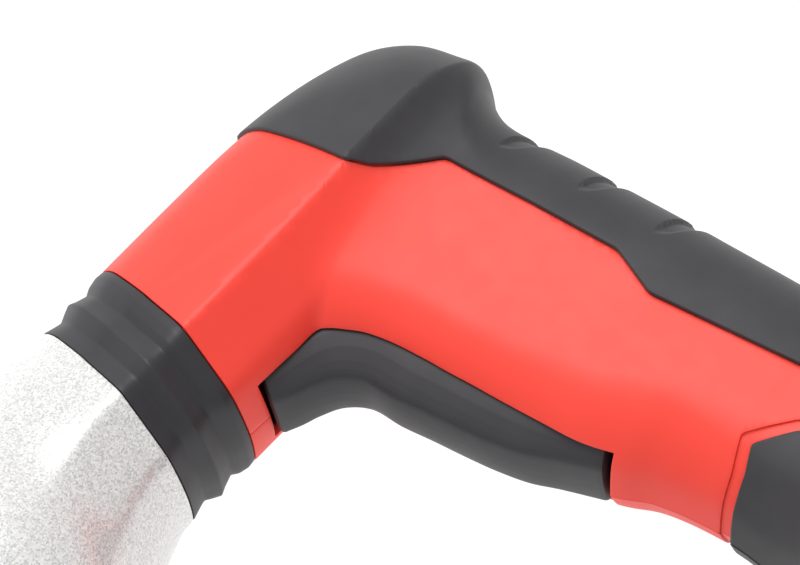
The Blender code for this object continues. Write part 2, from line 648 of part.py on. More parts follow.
def make_casting():
    """The cast body: gear chamber at the rear, cylinder at the front and a rest pad on each side."""
    rings = np.array([scaled_ring(grow, along, *shape) for along, grow, *shape in CASTING_STATIONS])
    casting = ring_solid("hydraulic_body", rings, ALLOY)
    pads = rod("rest_pads", REST_PAD_RADIUS, FLOOR_Z, -FLOOR_Z, ALLOY, (REST_PAD_X, CYLINDER_Y, 0))
    bosses = [
        rod(f"handle_boss_{i}", HANDLE_BOSS_RADIUS, 20, HANDLE_BOSS_TOP, ALLOY, (x, 0, 0), "y", 20)
        for i, x in enumerate(HANDLE_FEET)
    ]
    knob_boss = rod("knob_boss", KNOB_BOSS_RADIUS, 10, KNOB_BOSS_TOP, ALLOY, (KNOB_X, 0, 0), "y", 20)
    shape_with(casting, "UNION", pads, *bosses, knob_boss)
    cylinder = rod(
        "cylinder_bore", CYLINDER_BORE, CASTING_FRONT - 5, CYLINDER_BACK, axis="x", at=(0, CYLINDER_Y, 0)
    )
    place = (PLUNGER_X, 0, 0)
    plunger = rod("plunger_bore", PLUNGER_BORE_RADIUS, *PLUNGER_BORE, axis="y", at=place, segments=16)
    shape_with(casting, "DIFFERENCE", rod("gear_bore", GEAR_BORE, -90, 20, axis="x"), cylinder, plunger)


def gear_outline(teeth, root, tip, fill, phase=0.0):
    """Tooth flanks as trapezoids; fill is the part of the pitch that the tooth takes at its root."""
    points = []
    pitch = 2 * math.pi / teeth
    for i in range(teeth):
        middle = phase + i * pitch
        for radius, half in ((root, fill / 2), (tip, fill / 4), (tip, -fill / 4), (root, -fill / 2)):
            angle = middle - half * pitch
            points.append((radius * math.cos(angle), radius * math.sin(angle)))
    return points


def pitch_radius(teeth):
    """A gear's pitch radius."""
    return MODULE * teeth / 2


def toothed_bar(name, teeth, phase=0.0, at=(0.0, 0.0, 0.0)):
    """A spur gear as long as the gear set."""
    radius = pitch_radius(teeth)
    outline = gear_outline(teeth, radius - TOOTH_ROOT, radius + TOOTH_TOP, TOOTH_SHARE, phase)
    return prism(name, outline, GEARS_FRONT, GEARS_BACK, STEEL, at, "x")


def make_gears():
    """Sun, planets and ring, and the carrier with the eccentric that works the pump."""
    toothed_bar("sun_pinion", SUN_TEETH)
    orbit = pitch_radius(SUN_TEETH) + pitch_radius(PLANET_TEETH)
    pins = []
    for i in range(PLANETS):
        angle = 2 * math.pi * i / PLANETS
        phase = math.pi + math.pi / PLANET_TEETH + angle + angle * SUN_TEETH / PLANET_TEETH
        place = (0, orbit * math.cos(angle), orbit * math.sin(angle))
        planet = toothed_bar(f"planet_gear_{i + 1}", PLANET_TEETH, phase, place)
        ends = (GEARS_FRONT - 1, GEARS_BACK + 1)
        bore = rod(f"planet_bore_{i + 1}", PLANET_BORE, *ends, at=place, axis="x", segments=16)
        shape_with(planet, "DIFFERENCE", bore)
        ends = (CARRIER_PIN_FRONT, GEARS_BACK - 0.5)
        pins.append(rod(f"carrier_pin_{i}", CARRIER_PIN_RADIUS, *ends, at=place, axis="x", segments=12))
    ring = rod("ring_gear", GEAR_BORE - GAP, GEARS_FRONT - 0.5, GEARS_BACK + 0.5, axis="x", segments=30)
    radius = pitch_radius(RING_TEETH)
    phase = math.pi / RING_TEETH
    phase += phase * (PLANET_TEETH % 2)
    inside = gear_outline(RING_TEETH, radius - TOOTH_TOP, radius + TOOTH_ROOT, RING_TOOTH_SHARE, phase)
    shape_with(ring, "DIFFERENCE", prism("ring_teeth", inside, GEARS_FRONT - 2, GEARS_BACK + 2, axis="x"))
    carrier = rod("planet_carrier", CARRIER_RADIUS, *CARRIER_PLATE, axis="x")
    shaft = rod("carrier_shaft", CARRIER_SHAFT_RADIUS, *CARRIER_SHAFT, axis="x", segments=16)
    cam = rod("eccentric", ECCENTRIC_RADIUS, *ECCENTRIC, axis="x", at=(0, ECCENTRIC_OFFSET, 0), segments=20)
    shape_with(carrier, "UNION", *pins, shaft, cam)


def make_drive():
    """Motor, gears, pump plunger and the bladder that holds the oil."""
    turned("motor_can", MOTOR_CAN)
    turned("motor_rotor", MOTOR_ROTOR, COPPER, segments=24)
    turned("motor_bearing", MOTOR_BEARING, segments=20)
    make_gears()
    turned("pump_plunger", PUMP_PLUNGER, STEEL, (PLUNGER_X, 0, 0), "y", 16)
    turned("oil_bladder", OIL_BLADDER, BLACK)


def make_cylinder():
    """Piston, its seal, the rod and the gland that guides it."""
    at = (0, CYLINDER_Y, 0)
    turned("piston", PISTON, STEEL, at)
    turned("piston_seal", PISTON_SEAL, BLACK, at)
    turned("piston_rod", PISTON_ROD, STEEL, at)
    turned("cylinder_gland", CYLINDER_GLAND, COPPER, at)


def make_yoke(pivots):
    """The fork at the front of the casting, with a hole through both cheeks for each arm's pin."""
    x, y = ARM_PIVOT
    edge = YOKE_HALF_WIDTH
    outline = [(YOKE_BACK, -38), (YOKE_BACK, 38), (-204, 40), (-222, edge)]
    outline += arc((x, y), edge - y, 90, 190, 6)
    outline += [(-247, 16), (-247, -16)]
    outline += arc((x, -y), edge - y, 170, 270, 6)
    outline += [(-222, -edge), (-204, -40)]
    at = (0, CYLINDER_Y, 0)
    yoke = prism("yoke", outline, -YOKE_HALF_THICK, YOKE_HALF_THICK, ALLOY, at)
    shape_with(yoke, "UNION", rod("yoke_base", YOKE_BASE_RADIUS, -206, YOKE_BACK, ALLOY, at, "x"))
    slot = box("yoke_slot", (-300, -90, -FORK_HALF_GAP), (YOKE_SLOT_FROM, 90, FORK_HALF_GAP))
    rod_hole = rod("yoke_rod_hole", YOKE_ROD_HOLE, -230, -180, axis="x", at=at)
    holes = [rod(f"yoke_hole_{i}", ARM_PIN_HOLE, -60, 60, at=p, segments=24) for i, p in enumerate(pivots)]
    shape_with(yoke, "DIFFERENCE", slot, rod_hole, *holes)


def make_link(name, near, place):
    """A flat link between two pins; its front eye has room for the linkage's small error."""
    span = Vector((place[0] - near[0], place[1] - near[1]))
    turn = math.degrees(math.atan2(span.y, span.x))
    outline = arc((0, 0), LINK_RADIUS, turn + 90, turn + 270, 8)
    outline += arc((span.x, span.y), LINK_RADIUS, turn - 90, turn + 90, 8)
    link = prism(f"link_{name}", outline, -LINK_HALF_THICK, LINK_HALF_THICK, STEEL, near)
    rear_eye = rod(f"link_{name}_rear_eye", PIN_FIT_RADIUS, -20, 20, at=near, segments=20)
    front_eye = rod(f"link_{name}_front_eye", OPEN_EYE_RADIUS, -20, 20, at=place, segments=20)
    shape_with(link, "DIFFERENCE", rear_eye, front_eye)


def make_jaws():
    """The fork, two arms with their tips, and the links that the rod pushes."""
    pivots = [Vector((ARM_PIVOT[0], CYLINDER_Y + side * ARM_PIVOT[1], 0)) for side in (1, -1)]
    make_yoke(pivots)
    lever = math.radians(LEVER_REST_DEG)
    link_pin = (ARM_PIVOT[0] + LEVER_LENGTH * math.sin(lever), ARM_PIVOT[1] - LEVER_LENGTH * math.cos(lever))
    crosshead = box("crosshead", *CROSSHEAD_BOX, STEEL, (0, CYLINDER_Y, 0))
    soften(crosshead, CROSSHEAD_EDGE)
    (x_low, y_low), (x_high, y_high) = CROSSHEAD_SLOT
    low, high = (x_low, y_low, -LINK_SLOT_HALF), (x_high, y_high, LINK_SLOT_HALF)
    shape_with(crosshead, "DIFFERENCE", box("crosshead_slot", low, high, at=(0, CYLINDER_Y, 0)))
    for side, name, pivot in ((1, "upper", pivots[0]), (-1, "lower", pivots[1])):
        make_arm(side, name, pivot, link_pin)
        make_tip(side, name, pivot)
        place = (link_pin[0], CYLINDER_Y + side * link_pin[1], 0)
        near = (link_pin[0] + LINK_LENGTH, CYLINDER_Y + side * CROSSHEAD_PINS_Y, 0)
        turned(f"link_pin_{name}", LINK_PIN, STEEL, place, "z", 20)
        turned(f"crosshead_pin_{name}", LINK_PIN, STEEL, near, "z", 20)
        make_link(name, near, place)
        hole = rod(f"crosshead_hole_{name}", PIN_FIT_RADIUS, -20, 20, at=near, segments=20)
        shape_with(crosshead, "DIFFERENCE", hole)


def tip_bolt_hole(name, side, pivot):
    """The hole for a tip's bolt, as a cutter."""
    at = (pivot.x + TIP_BOLT_AT[0], pivot.y + side * TIP_BOLT_AT[1], 0)
    return rod(name, TIP_BOLT_HOLE, -20, 20, at=at, segments=16)


def make_arm(side, name, pivot, link_pin):
    """One arm on its pin; the lower arm mirrors the upper one."""
    lever_end = (link_pin[0] - ARM_PIVOT[0], link_pin[1] - ARM_PIVOT[1])
    outline = arc((0, 0), ARM_ROOT_RADIUS, 0, 95, 5) + list(ARM_OUTER_SIDE + ARM_INNER_SIDE)
    outline += arc(lever_end, ARM_LEVER_RADIUS, 190, 320, 6)
    outline = [(x, side * y) for x, y in outline]
    arm = prism(f"arm_{name}", outline, -ARM_HALF_THICK, ARM_HALF_THICK, ALLOY, pivot)
    soften(arm, ARM_EDGE)
    low, high = sorted((side * LEVER_SLOT_FROM, side * -60.0))
    slot = box(f"arm_{name}_slot", (-12.0, low, -LINK_SLOT_HALF), (30, high, LINK_SLOT_HALF), at=pivot)
    bore = rod(f"arm_{name}_bore", ARM_PIN_HOLE, -30, 30, at=pivot, segments=24)
    pin_at = (link_pin[0], CYLINDER_Y + side * link_pin[1], 0)
    pin_hole = rod(f"arm_{name}_link_hole", PIN_FIT_RADIUS, -30, 30, at=pin_at, segments=20)
    beyond = [(-150, side * -60), (-90, side * -60), (-90, side * 40), (-150, side * 40)]
    tongue_top = prism(f"arm_{name}_tongue_top", beyond, TONGUE_HALF_THICK, 40, at=pivot)
    tongue_base = prism(f"arm_{name}_tongue_base", beyond, -40, -TONGUE_HALF_THICK, at=pivot)
    bolt_hole = tip_bolt_hole(f"arm_{name}_tip_hole", side, pivot)
    shape_with(arm, "DIFFERENCE", slot, bore, pin_hole, tongue_top, tongue_base, bolt_hole)
    turned(f"arm_pin_{name}", ARM_PIN, STEEL, pivot, "z", 24)


def make_tip(side, name, pivot):
    """One toothed tip, slotted over its arm's tongue, and the bolt that holds it."""
    teeth = [(TIP_END, ARM_INNER + 0.2)]
    for i in range(TIP_TEETH):
        foot = TIP_END + i * TIP_TOOTH_PITCH
        teeth += [(foot + 2.0, ARM_INNER + 0.1), (foot + 2.8, ARM_INNER + 1.3)]
    outline = [(x, side * y) for x, y in [*TIP_OUTER_SIDE, *teeth, (TIP_ROOT, ARM_INNER)]]
    tip = prism(f"tip_{name}", outline, -TIP_HALF_THICK, TIP_HALF_THICK, STEEL, pivot)
    area = [(-113, side * 40), (-60, side * 40), (-60, side * -60), (-113, side * -60)]
    slot = prism(f"tip_{name}_slot", area, -TIP_SLOT_HALF, TIP_SLOT_HALF, at=pivot)
    shape_with(tip, "DIFFERENCE", slot, tip_bolt_hole(f"tip_{name}_hole", side, pivot))
    at = (pivot.x + TIP_BOLT_AT[0], pivot.y + side * TIP_BOLT_AT[1], 0)
    turned(f"tip_bolt_{name}", TIP_BOLT, STEEL, at, "z", 16)


def make_trigger():
    """The paddle trigger with its pin and spring."""
    at = (*TRIGGER_PIVOT, 0)
    outline = [(x - TRIGGER_PIVOT[0], y - TRIGGER_PIVOT[1]) for x, y in TRIGGER_OUTLINE]
    trigger = prism("trigger", outline, -TRIGGER_HALF_WIDTH, TRIGGER_HALF_WIDTH, BLACK, at)
    soften(trigger, TRIGGER_EDGE, 1, 35)
    room = box("trigger_spring_room", *SPRING_ROOM, at=at)
    hollow = prism("trigger_hollow", TRIGGER_HOLLOW, -TRIGGER_HOLLOW_HALF_WIDTH, TRIGGER_HOLLOW_HALF_WIDTH)
    bore = rod("trigger_bore", TRIGGER_BORE_RADIUS, -30, 30, at=at, segments=16)
    shape_with(trigger, "DIFFERENCE", room, hollow, bore)
    length = TRIGGER_PIN_HALF_LENGTH
    rod("trigger_pin", TRIGGER_PIN_RADIUS, -length, length, STEEL, at, segments=16)
    coil = []
    for i in range(SPRING_TURNS * STEPS_A_TURN + 1):
        turn = 2 * math.pi * i / STEPS_A_TURN
        height = -SPRING_HALF_LENGTH + 2 * SPRING_HALF_LENGTH * i / (SPRING_TURNS * STEPS_A_TURN)
        coil.append((SPRING_RADIUS * math.cos(turn), SPRING_RADIUS * math.sin(turn), height))
    swept("trigger_spring", coil, SPRING_WIRE_RADIUS, STEEL, 5, at)


def make_switchgear():
    """The switch behind the trigger, the control board and the battery's terminals."""
    switch = soften(box("switch_module", *SWITCH_BOX), 1.2)
    bore = rod("switch_bore", SWITCH_BORE_RADIUS, *SWITCH_BORE, axis="x", at=(0, SWITCH_Y, 0), segments=16)
    shape_with(switch, "DIFFERENCE", bore)
    rod("switch_plunger", SWITCH_PLUNGER_RADIUS, *SWITCH_PLUNGER, STEEL, (0, SWITCH_Y, 0), "x", 16)
    box("control_board", *BOARD_BOX, BOARD_GREEN)
    (x_low, y_low), (x_high, y_high) = TERMINAL_SLOT
    slots = [
        box(f"terminal_slot_{i}", (x_low, y_low, z), (x_high, y_high, z + TERMINAL_SLOT_WIDTH))
        for i, z in enumerate(TERMINAL_SLOTS_Z)
    ]
    shape_with(box("terminal_block", *TERMINAL_BOX), "DIFFERENCE", *slots)


def battery_outline(corner, inset=0.0):
    """The pack's outline from above, with rounded corners."""
    low_x, high_x = BATTERY_FRONT + inset, BATTERY_BACK - inset
    half = BATTERY_HALF_WIDTH - inset
    centres = (
        (high_x - corner, half - corner, 0), (low_x + corner, half - corner, 90),
        (low_x + corner, -half + corner, 180), (high_x - corner, -half + corner, 270),
    )
    return [p for x, z, first in centres for p in arc((x, z), corner, first, first + 90, 3)]


def make_battery_case():
    """The two shells of the pack; the upper one carries the rail."""
    outside = battery_outline(BATTERY_CORNER)
    inside = battery_outline(BATTERY_INNER_CORNER, BATTERY_WALL)
    top = prism("battery_case_top", outside, BATTERY_SPLIT + GAP, BATTERY_TOP, BLACK, axis="y")
    shape_with(top, "UNION", box("battery_rail", *BATTERY_RAIL))
    open_end, ceiling = BATTERY_SPLIT - BATTERY_OPEN_BY, BATTERY_TOP - BATTERY_WALL
    shape_with(top, "DIFFERENCE", prism("battery_top_room", inside, open_end, ceiling, axis="y"))
    bottom = prism("battery_case_bottom", outside, BATTERY_BOTTOM, BATTERY_SPLIT, BLACK, axis="y")
    open_end, floor = BATTERY_SPLIT + BATTERY_OPEN_BY, BATTERY_BOTTOM + BATTERY_WALL
    shape_with(bottom, "DIFFERENCE", prism("battery_bottom_room", inside, floor, open_end, axis="y"))
    return top


def make_battery():
    """A slide-on pack: two shells, five cells and a latch button on each side."""
    top = make_battery_case()
    for i in range(CELLS):
        row, place = divmod(i, CELLS_A_ROW)
        x = (BATTERY_FRONT + BATTERY_BACK) / 2 + (place - 1 + row * 0.5) * CELL_PITCH
        y = BATTERY_BOTTOM + CELL_ABOVE_BASE + row * CELL_ROW_STEP
        turned(f"battery_cell_{i + 1}", BATTERY_CELL, CELL_BLUE, (x, y, 0), "z", 16)
    fit = LATCH_FIT
    for side, name in ((1, "left"), (-1, "right")):
        low, high = sorted((side * LATCH_Z[0], side * LATCH_Z[1]))
        button = box(f"battery_latch_{name}", (LATCH_X[0], LATCH_Y[0], low), (LATCH_X[1], LATCH_Y[1], high))
        soften(button, LATCH_EDGE)
        low, high = sorted((side * LATCH_WINDOW_Z[0], side * LATCH_WINDOW_Z[1]))
        corners = (LATCH_X[0] - fit, LATCH_Y[0] - fit, low), (LATCH_X[1] + fit, LATCH_Y[1] + fit, high)
        shape_with(top, "DIFFERENCE", box(f"latch_window_{name}", *corners))


def make_fittings():
    """Carrying handle, direction knob and the housing screws."""
    rear, front = HANDLE_FEET
    path = [(rear, BOW_LOW), *arc((rear - BOW_BEND, BOW_HIGH - BOW_BEND), BOW_BEND, 0, 90, 5)]
    path += [*arc((front + BOW_BEND, BOW_HIGH - BOW_BEND), BOW_BEND, 90, 180, 5), (front, BOW_LOW)]
    bow = swept("carrying_handle", [(x, y, 0) for x, y in path], BOW_RADIUS, BLACK, BOW_SIDES)
    feet = [
        rod(f"bow_foot_{i}", BOW_FOOT_RADIUS, HANDLE_BOSS_TOP + GAP, BOW_FOOT_TOP, BLACK, (x, 0, 0), "y", 20)
        for i, x in enumerate(HANDLE_FEET)
    ]
    shape_with(bow, "UNION", *feet)
    knob = turned("direction_knob", DIRECTION_KNOB, BLACK, (KNOB_X, 0, 0), "y", 24)
    shape_with(knob, "UNION", box("knob_bar", *KNOB_BAR, at=(KNOB_X, 0, 0)))
    for i, (x, y, reach) in enumerate(SCREW_PLACES):
        head, end = -reach + 0.2, reach - SCREW_SHORT_BY
        neck = -reach + 0.2 + SCREW_HEAD_LENGTH
        profile = [
            (head, 0), (head, SCREW_HEAD_RADIUS), (neck, SCREW_HEAD_RADIUS), (neck, SCREW_RADIUS),
            (end, SCREW_RADIUS), (end, 0),
        ]
        turned(f"housing_screw_{i + 1}", profile, STEEL, (x, y, 0), "z", 12)


def main():
    """Build every piece."""
    make_handle()
    make_collar()
    make_casting()
    make_drive()
    make_cylinder()
    make_jaws()
    make_trigger()
    make_switchgear()
    make_battery()
    make_fittings()


clear_scene()
TOOL_AXIS = bpy.data.objects.new("tool_axis", None)
TOOL_AXIS.location = Vector(TOOL_AXIS_AT) * MM
bpy.context.collection.objects.link(TOOL_AXIS)
main()
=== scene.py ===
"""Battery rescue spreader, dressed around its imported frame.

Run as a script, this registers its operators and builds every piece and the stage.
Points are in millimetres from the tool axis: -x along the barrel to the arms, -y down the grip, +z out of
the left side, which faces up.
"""

import json
import math

import bmesh
import bpy
import numpy as np
from bpy.props import FloatProperty, PointerProperty, StringProperty
from mathutils import Matrix, Vector
from mathutils.bvhtree import BVHTree
from mathutils.geometry import delaunay_2d_cdt


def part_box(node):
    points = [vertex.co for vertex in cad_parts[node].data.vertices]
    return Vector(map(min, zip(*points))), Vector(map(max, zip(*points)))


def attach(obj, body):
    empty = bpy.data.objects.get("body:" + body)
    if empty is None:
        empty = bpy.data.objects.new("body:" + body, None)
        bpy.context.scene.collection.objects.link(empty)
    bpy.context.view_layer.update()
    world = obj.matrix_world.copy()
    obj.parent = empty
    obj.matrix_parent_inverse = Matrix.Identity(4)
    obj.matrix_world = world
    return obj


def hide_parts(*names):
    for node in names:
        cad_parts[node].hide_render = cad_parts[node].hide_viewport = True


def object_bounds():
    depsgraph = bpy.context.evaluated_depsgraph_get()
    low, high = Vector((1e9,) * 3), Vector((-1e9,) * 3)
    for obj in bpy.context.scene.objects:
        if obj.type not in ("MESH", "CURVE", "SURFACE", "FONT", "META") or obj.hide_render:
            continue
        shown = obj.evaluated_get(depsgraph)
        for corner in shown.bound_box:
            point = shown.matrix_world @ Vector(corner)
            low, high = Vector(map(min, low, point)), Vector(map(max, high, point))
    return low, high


bl_info = {
    "name": "Rescue spreader",
    "version": (1, 0, 0),
    "blender": (4, 5, 0),
    "location": "View3D > Sidebar > Spreader",
    "description": "Builds a battery rescue spreader's looks around its frame",
    "category": "Add Mesh",
}

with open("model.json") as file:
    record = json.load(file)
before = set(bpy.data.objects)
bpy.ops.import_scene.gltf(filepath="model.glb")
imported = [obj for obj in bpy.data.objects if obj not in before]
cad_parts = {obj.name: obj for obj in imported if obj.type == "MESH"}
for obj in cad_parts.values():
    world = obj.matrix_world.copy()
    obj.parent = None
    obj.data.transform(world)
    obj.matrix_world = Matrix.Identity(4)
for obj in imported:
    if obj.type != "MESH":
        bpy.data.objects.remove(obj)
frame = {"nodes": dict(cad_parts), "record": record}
CAD_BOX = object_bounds()

MM = 0.001
ROTOR_END = 72.0
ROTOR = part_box("motor_rotor")
AXIS = Vector((ROTOR[1].x - ROTOR_END * MM, (ROTOR[0].y + ROTOR[1].y) / 2, (ROTOR[0].z + ROTOR[1].z) / 2))


def span(node):
    """A node's lowest and highest corner in millimetres from the tool axis."""
    low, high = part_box(node)
    return (low - AXIS) / MM, (high - AXIS) / MM


# ---------------------------------------------------------------- shape of the handle

# Along the handle: back edge x, y, front edge x, y, rounding of the two edges and half width of the grip
HANDLE_STATIONS = (
    (6.6, 26.5, -1.1, -23.0, 10, 24, 18.6),
    (16.0, 26.5, 5.0, -23.4, 10, 24, 18.6),
    (28.0, 26.4, 11.5, -24.0, 10, 24, 18.6),
    (43.0, 25.9, 17.0, -25.2, 10, 20, 18.6),
    (56.5, 24.4, 20.5, -27.5, 12, 17, 18.6),
    (69.0, 21.2, 22.5, -30.0, 16, 15, 18.6),
    (79.5, 16.0, 24.0, -33.0, 20, 15, 18.6),
    (86.0, 8.0, 25.0, -36.5, 24, 15, 18.6),
    (88.4, -1.5, 25.7, -40.0, 25, 15, 18.6),
    (88.6, -8.0, 26.2, -43.5, 22, 15, 18.6),
    (84.8, -13.0, 26.8, -47.5, 20, 15, 18.6),
    (82.4, -19.0, 27.3, -52.0, 20, 15, 18.6),
    (82.8, -26.0, 28.0, -57.0, 21, 15, 18.6),
    (84.6, -37.0, 28.8, -64.0, 22, 15, 18.6),
    (86.0, -50.0, 29.8, -73.0, 22, 16, 18.6),
    (87.4, -63.0, 31.0, -82.0, 22, 17, 18.6),
    (88.5, -75.0, 33.5, -90.0, 22, 19, 18.6),
    (89.7, -88.0, 37.0, -97.0, 22, 20, 18.6),
    (90.8, -101.0, 39.3, -107.0, 22, 20, 18.6),
    (92.2, -115.0, 40.3, -118.0, 20, 18, 18.8),
    (95.5, -129.0, 39.0, -130.0, 16, 14, 22.0),
    (102.0, -139.5, 34.5, -140.0, 13, 12, 29.5),
    (105.0, -148.0, 32.0, -148.0, 12, 12, 33.0),
)
LAST_STATION = len(HANDLE_STATIONS) - 1
BARREL_TOP = 26.5
BARREL_BOTTOM = -23.0
RIDGE_Y = -8.5
RIDGE_HALF_WIDTH = 25.1
RIDGE_ROUND = 0.45
GRIP_FLARE = 6.5
GRIP_FLARE_FADE = 14
GRIP_TAPER = 0.12
GRIP_TAPER_FROM = 51
BARREL_BLEND = 2.0
COVER_OUTLINE = (
    (46.8, 45.0), (48.7, -3.0), (48.9, -8.3), (52.0, -12.0), (63.8, -21.3), (66.7, -41.0), (69.0, -62.0),
    (65.2, -73.5), (70.9, -106.8), (75.0, -128.0), (82.0, -152.0),
)
PAD_OUTLINE = (
    (20.0, -113.5), (40.0, -113.5), (47.4, -112.0), (52.2, -110.0), (59.5, -115.7), (66.0, -128.0), (70.0, -152.0),
)
STRIP_OUTLINE = (
    (20.0, -111.0), (39.0, -111.0), (46.6, -109.4), (52.9, -106.9), (61.6, -113.9), (68.6, -127.2), (73.0, -152.0),
)
NOTCH_WALLS = (-26.6, -45.4, -64.2)
NOTCH_LENGTH = 5.4
NOTCH_REACH = 12.0
SCREW_PLACES = ((26.0, 20.6), (61.0, -27.5), (59.5, -98.0), (60.0, -127.0))
SCREW_SINK_RADIUS = 3.1


def round_edge(x):
    """A quarter circle from 0 to 1."""
    x = np.clip(x, 0, 1)
    return np.sqrt(np.maximum(0, 1 - (1 - x) ** 2))


def smooth_max(a, b, blend):
    """The larger of two fields, with the crease between them filled."""
    h = np.clip(0.5 + 0.5 * (a - b) / blend, 0, 1)
    return b + (a - b) * h + blend * h * (1 - h)


def curve_at(stations, u):
    """Stations read from a smooth curve through them at fractional places."""
    given = np.array(stations, float)
    i = np.clip(u.astype(int), 0, len(given) - 2)
    f = (u - i)[..., None]
    a, b, c, d = (given[np.clip(i + k, 0, len(given) - 1)] for k in (-1, 0, 1, 2))
    return 0.5 * (2 * b + (c - a) * f + (2 * a - 5 * b + 4 * c - d) * f**2 + (3 * b - a - 3 * c + d) * f**3)


def edges_at(u, grow):
    """Back and front edge of the handle in side view, with the stations they come from."""
    stations = curve_at(HANDLE_STATIONS, u)
    back, front = stations[..., 0:2], stations[..., 2:4]
    outward = (back - front) / np.linalg.norm(back - front, axis=-1, keepdims=True)
    grow = np.asarray(grow, float)[..., None]
    return back + outward * grow, front - outward * grow, stations


def half_width(x, y, from_back, from_front, stations, grow):
    """Half the handle's width: a ridged barrel that blends into the rounded grip."""
    above = y - RIDGE_Y
    upper = RIDGE_HALF_WIDTH - 0.30 * above - 0.0065 * above**2
    lower = RIDGE_HALF_WIDTH + 0.85 * above
    barrel = -smooth_max(-np.maximum(upper, 6.0), -lower, RIDGE_ROUND) + grow
    barrel = np.maximum(barrel, 0.0) * round_edge((y + 25 + grow) / 6)
    below = np.clip(-above, 0, None) / GRIP_FLARE_FADE
    taper = GRIP_TAPER * np.clip(GRIP_TAPER_FROM - x, 0, None)
    grip = stations[..., 6] + GRIP_FLARE * np.exp(-2 * below) - taper
    grip = np.where(above > 0, np.minimum(grip, upper), grip) + grow
    grip = grip * round_edge(from_front / (stations[..., 5] + grow))
    width = smooth_max(barrel, grip, BARREL_BLEND)
    return width * round_edge(from_back / (stations[..., 4] + grow)) * round_edge(from_front / 2.5)


def handle_points(u, v, grow):
    """Points on the handle's left side: u along its stations, v from the back edge (0) to the front edge (pi)."""
    grow = np.broadcast_to(np.asarray(grow, float), u.shape)
    back, front, stations = edges_at(u, grow)
    share = (1 - np.cos(v)) / 2
    flat = back + (front - back) * share[..., None]
    length = np.linalg.norm(back - front, axis=-1)
    width = half_width(flat[..., 0], flat[..., 1], length * share, length * (1 - share), stations, grow)
    return np.concatenate([flat, width[..., None]], axis=-1)


def densified(outline, step, corner=0.0):
    """Points along an outline at an even step, its corners rounded off."""
    path = np.array(soft_profile(outline, corner, share=2))
    points = [path[0]]
    for a, b in zip(path, path[1:]):
        count = max(1, int(round(np.linalg.norm(b - a) / step)))
        points += [a + (b - a) * k / count for k in range(1, count + 1)]
    return np.array(points)


def to_lattice(points, grow):
    """Side-view points, in mm, as places (u, v) on the handle; points off the handle are left out."""
    u = np.linspace(0, LAST_STATION, 2201)
    back, front, _ = edges_at(u, np.full(u.shape, grow))
    across = front - back
    found = []
    for x, y in points:
        away = np.array([x, y]) - back
        side = across[:, 0] * away[:, 1] - across[:, 1] * away[:, 0]
        share = (away * across).sum(axis=1) / (across**2).sum(axis=1)
        hits = np.nonzero((side[:-1] * side[1:] <= 0) & (share[:-1] > -0.02) & (share[:-1] < 1.02))[0]
        if len(hits) and -0.002 < share[hits[0]] < 1.002:
            k = hits[0]
            part = side[k] / (side[k] - side[k + 1]) if side[k] != side[k + 1] else 0.0
            s = np.clip(share[k] + (share[k + 1] - share[k]) * part, 0, 1)
            found.append((u[k] + (u[k + 1] - u[k]) * part, math.acos(1 - 2 * s)))
    return np.array(found)


CELL = np.array([0.1, math.pi / 60])


def triangles_along(us, vs, lines):
    """Lattice places joined into triangles whose edges run along the given lines."""
    grid = np.stack(np.meshgrid(us, vs, indexing="ij"), axis=-1).reshape(-1, 2)
    on_lines = np.concatenate(lines)
    keep = np.ones(len(grid), bool)
    for start in range(0, len(grid), 2000):
        part = grid[start:start + 2000, None, :] - on_lines[None]
        keep[start:start + 2000] = (np.linalg.norm(part / CELL, axis=2).min(axis=1)) > 0.42
    corners = ((grid[:, 0] == us[0]) | (grid[:, 0] == us[-1])) & ((grid[:, 1] == vs[0]) | (grid[:, 1] == vs[-1]))
    places = [tuple(p) for p in grid[keep | corners] / CELL]
    joins = []
    for line in lines:
        first = len(places)
        places += [tuple(p) for p in line / CELL]
        joins += [(k, k + 1) for k in range(first, first + len(line) - 1)]
    vertices, _, faces, *_ = delaunay_2d_cdt([Vector(p) for p in places], joins, [], 0, 1e-3)
    return np.array([tuple(v) for v in vertices]) * CELL, [tuple(f) for f in faces]


def inside(points, polygon):
    """Which points lie in a polygon."""
    result = np.zeros(len(points), bool)
    for a, b in zip(polygon, np.roll(polygon, -1, axis=0)):
        crosses = (a[1] > points[:, 1]) != (b[1] > points[:, 1])
        with np.errstate(divide="ignore", invalid="ignore"):
            at = a[0] + (points[:, 1] - a[1]) / (b[1] - a[1]) * (b[0] - a[0])
        result ^= crosses & (points[:, 0] < at)
    return result


def zoned_skin(places, faces, zones, heights):
    """Points and faces of a skin whose zones stand at their own heights, with walls between neighbours."""
    copies, points, skin = {}, [], []

    def copy_of(vertex, zone):
        key = (vertex, zone)
        if key not in copies:
            copies[key] = len(points)
            points.append((places[vertex][0], places[vertex][1], heights[zone]))
        return copies[key]

    beside = {}
    for face, zone in zip(faces, zones):
        if zone is None:
            continue
        skin.append([copy_of(k, zone) for k in face])
        for a, b in zip(face, face[1:] + face[:1]):
            beside[(a, b)] = zone
    for (a, b), zone in beside.items():
        other = beside.get((b, a))
        if other is not None and zone < other:
            wall = [copy_of(b, zone), copy_of(a, zone), copy_of(a, other), copy_of(b, other)]
            skin.append(wall)
    table = np.array(points)
    return handle_points(table[:, 0], table[:, 1], table[:, 2]), skin


# ---------------------------------------------------------------- finishes


def linear(hex_colour):
    """A colour written as sRGB hex, as linear red, green, blue and alpha."""
    values = [int(hex_colour[k:k + 2], 16) / 255 for k in (1, 3, 5)]
    return (*[v / 12.92 if v <= 0.04045 else ((v + 0.055) / 1.055) ** 2.4 for v in values], 1.0)


def per_mm(size):
    """The texture scale that makes a pattern's features this many millimetres."""
    return 1000.0 / size


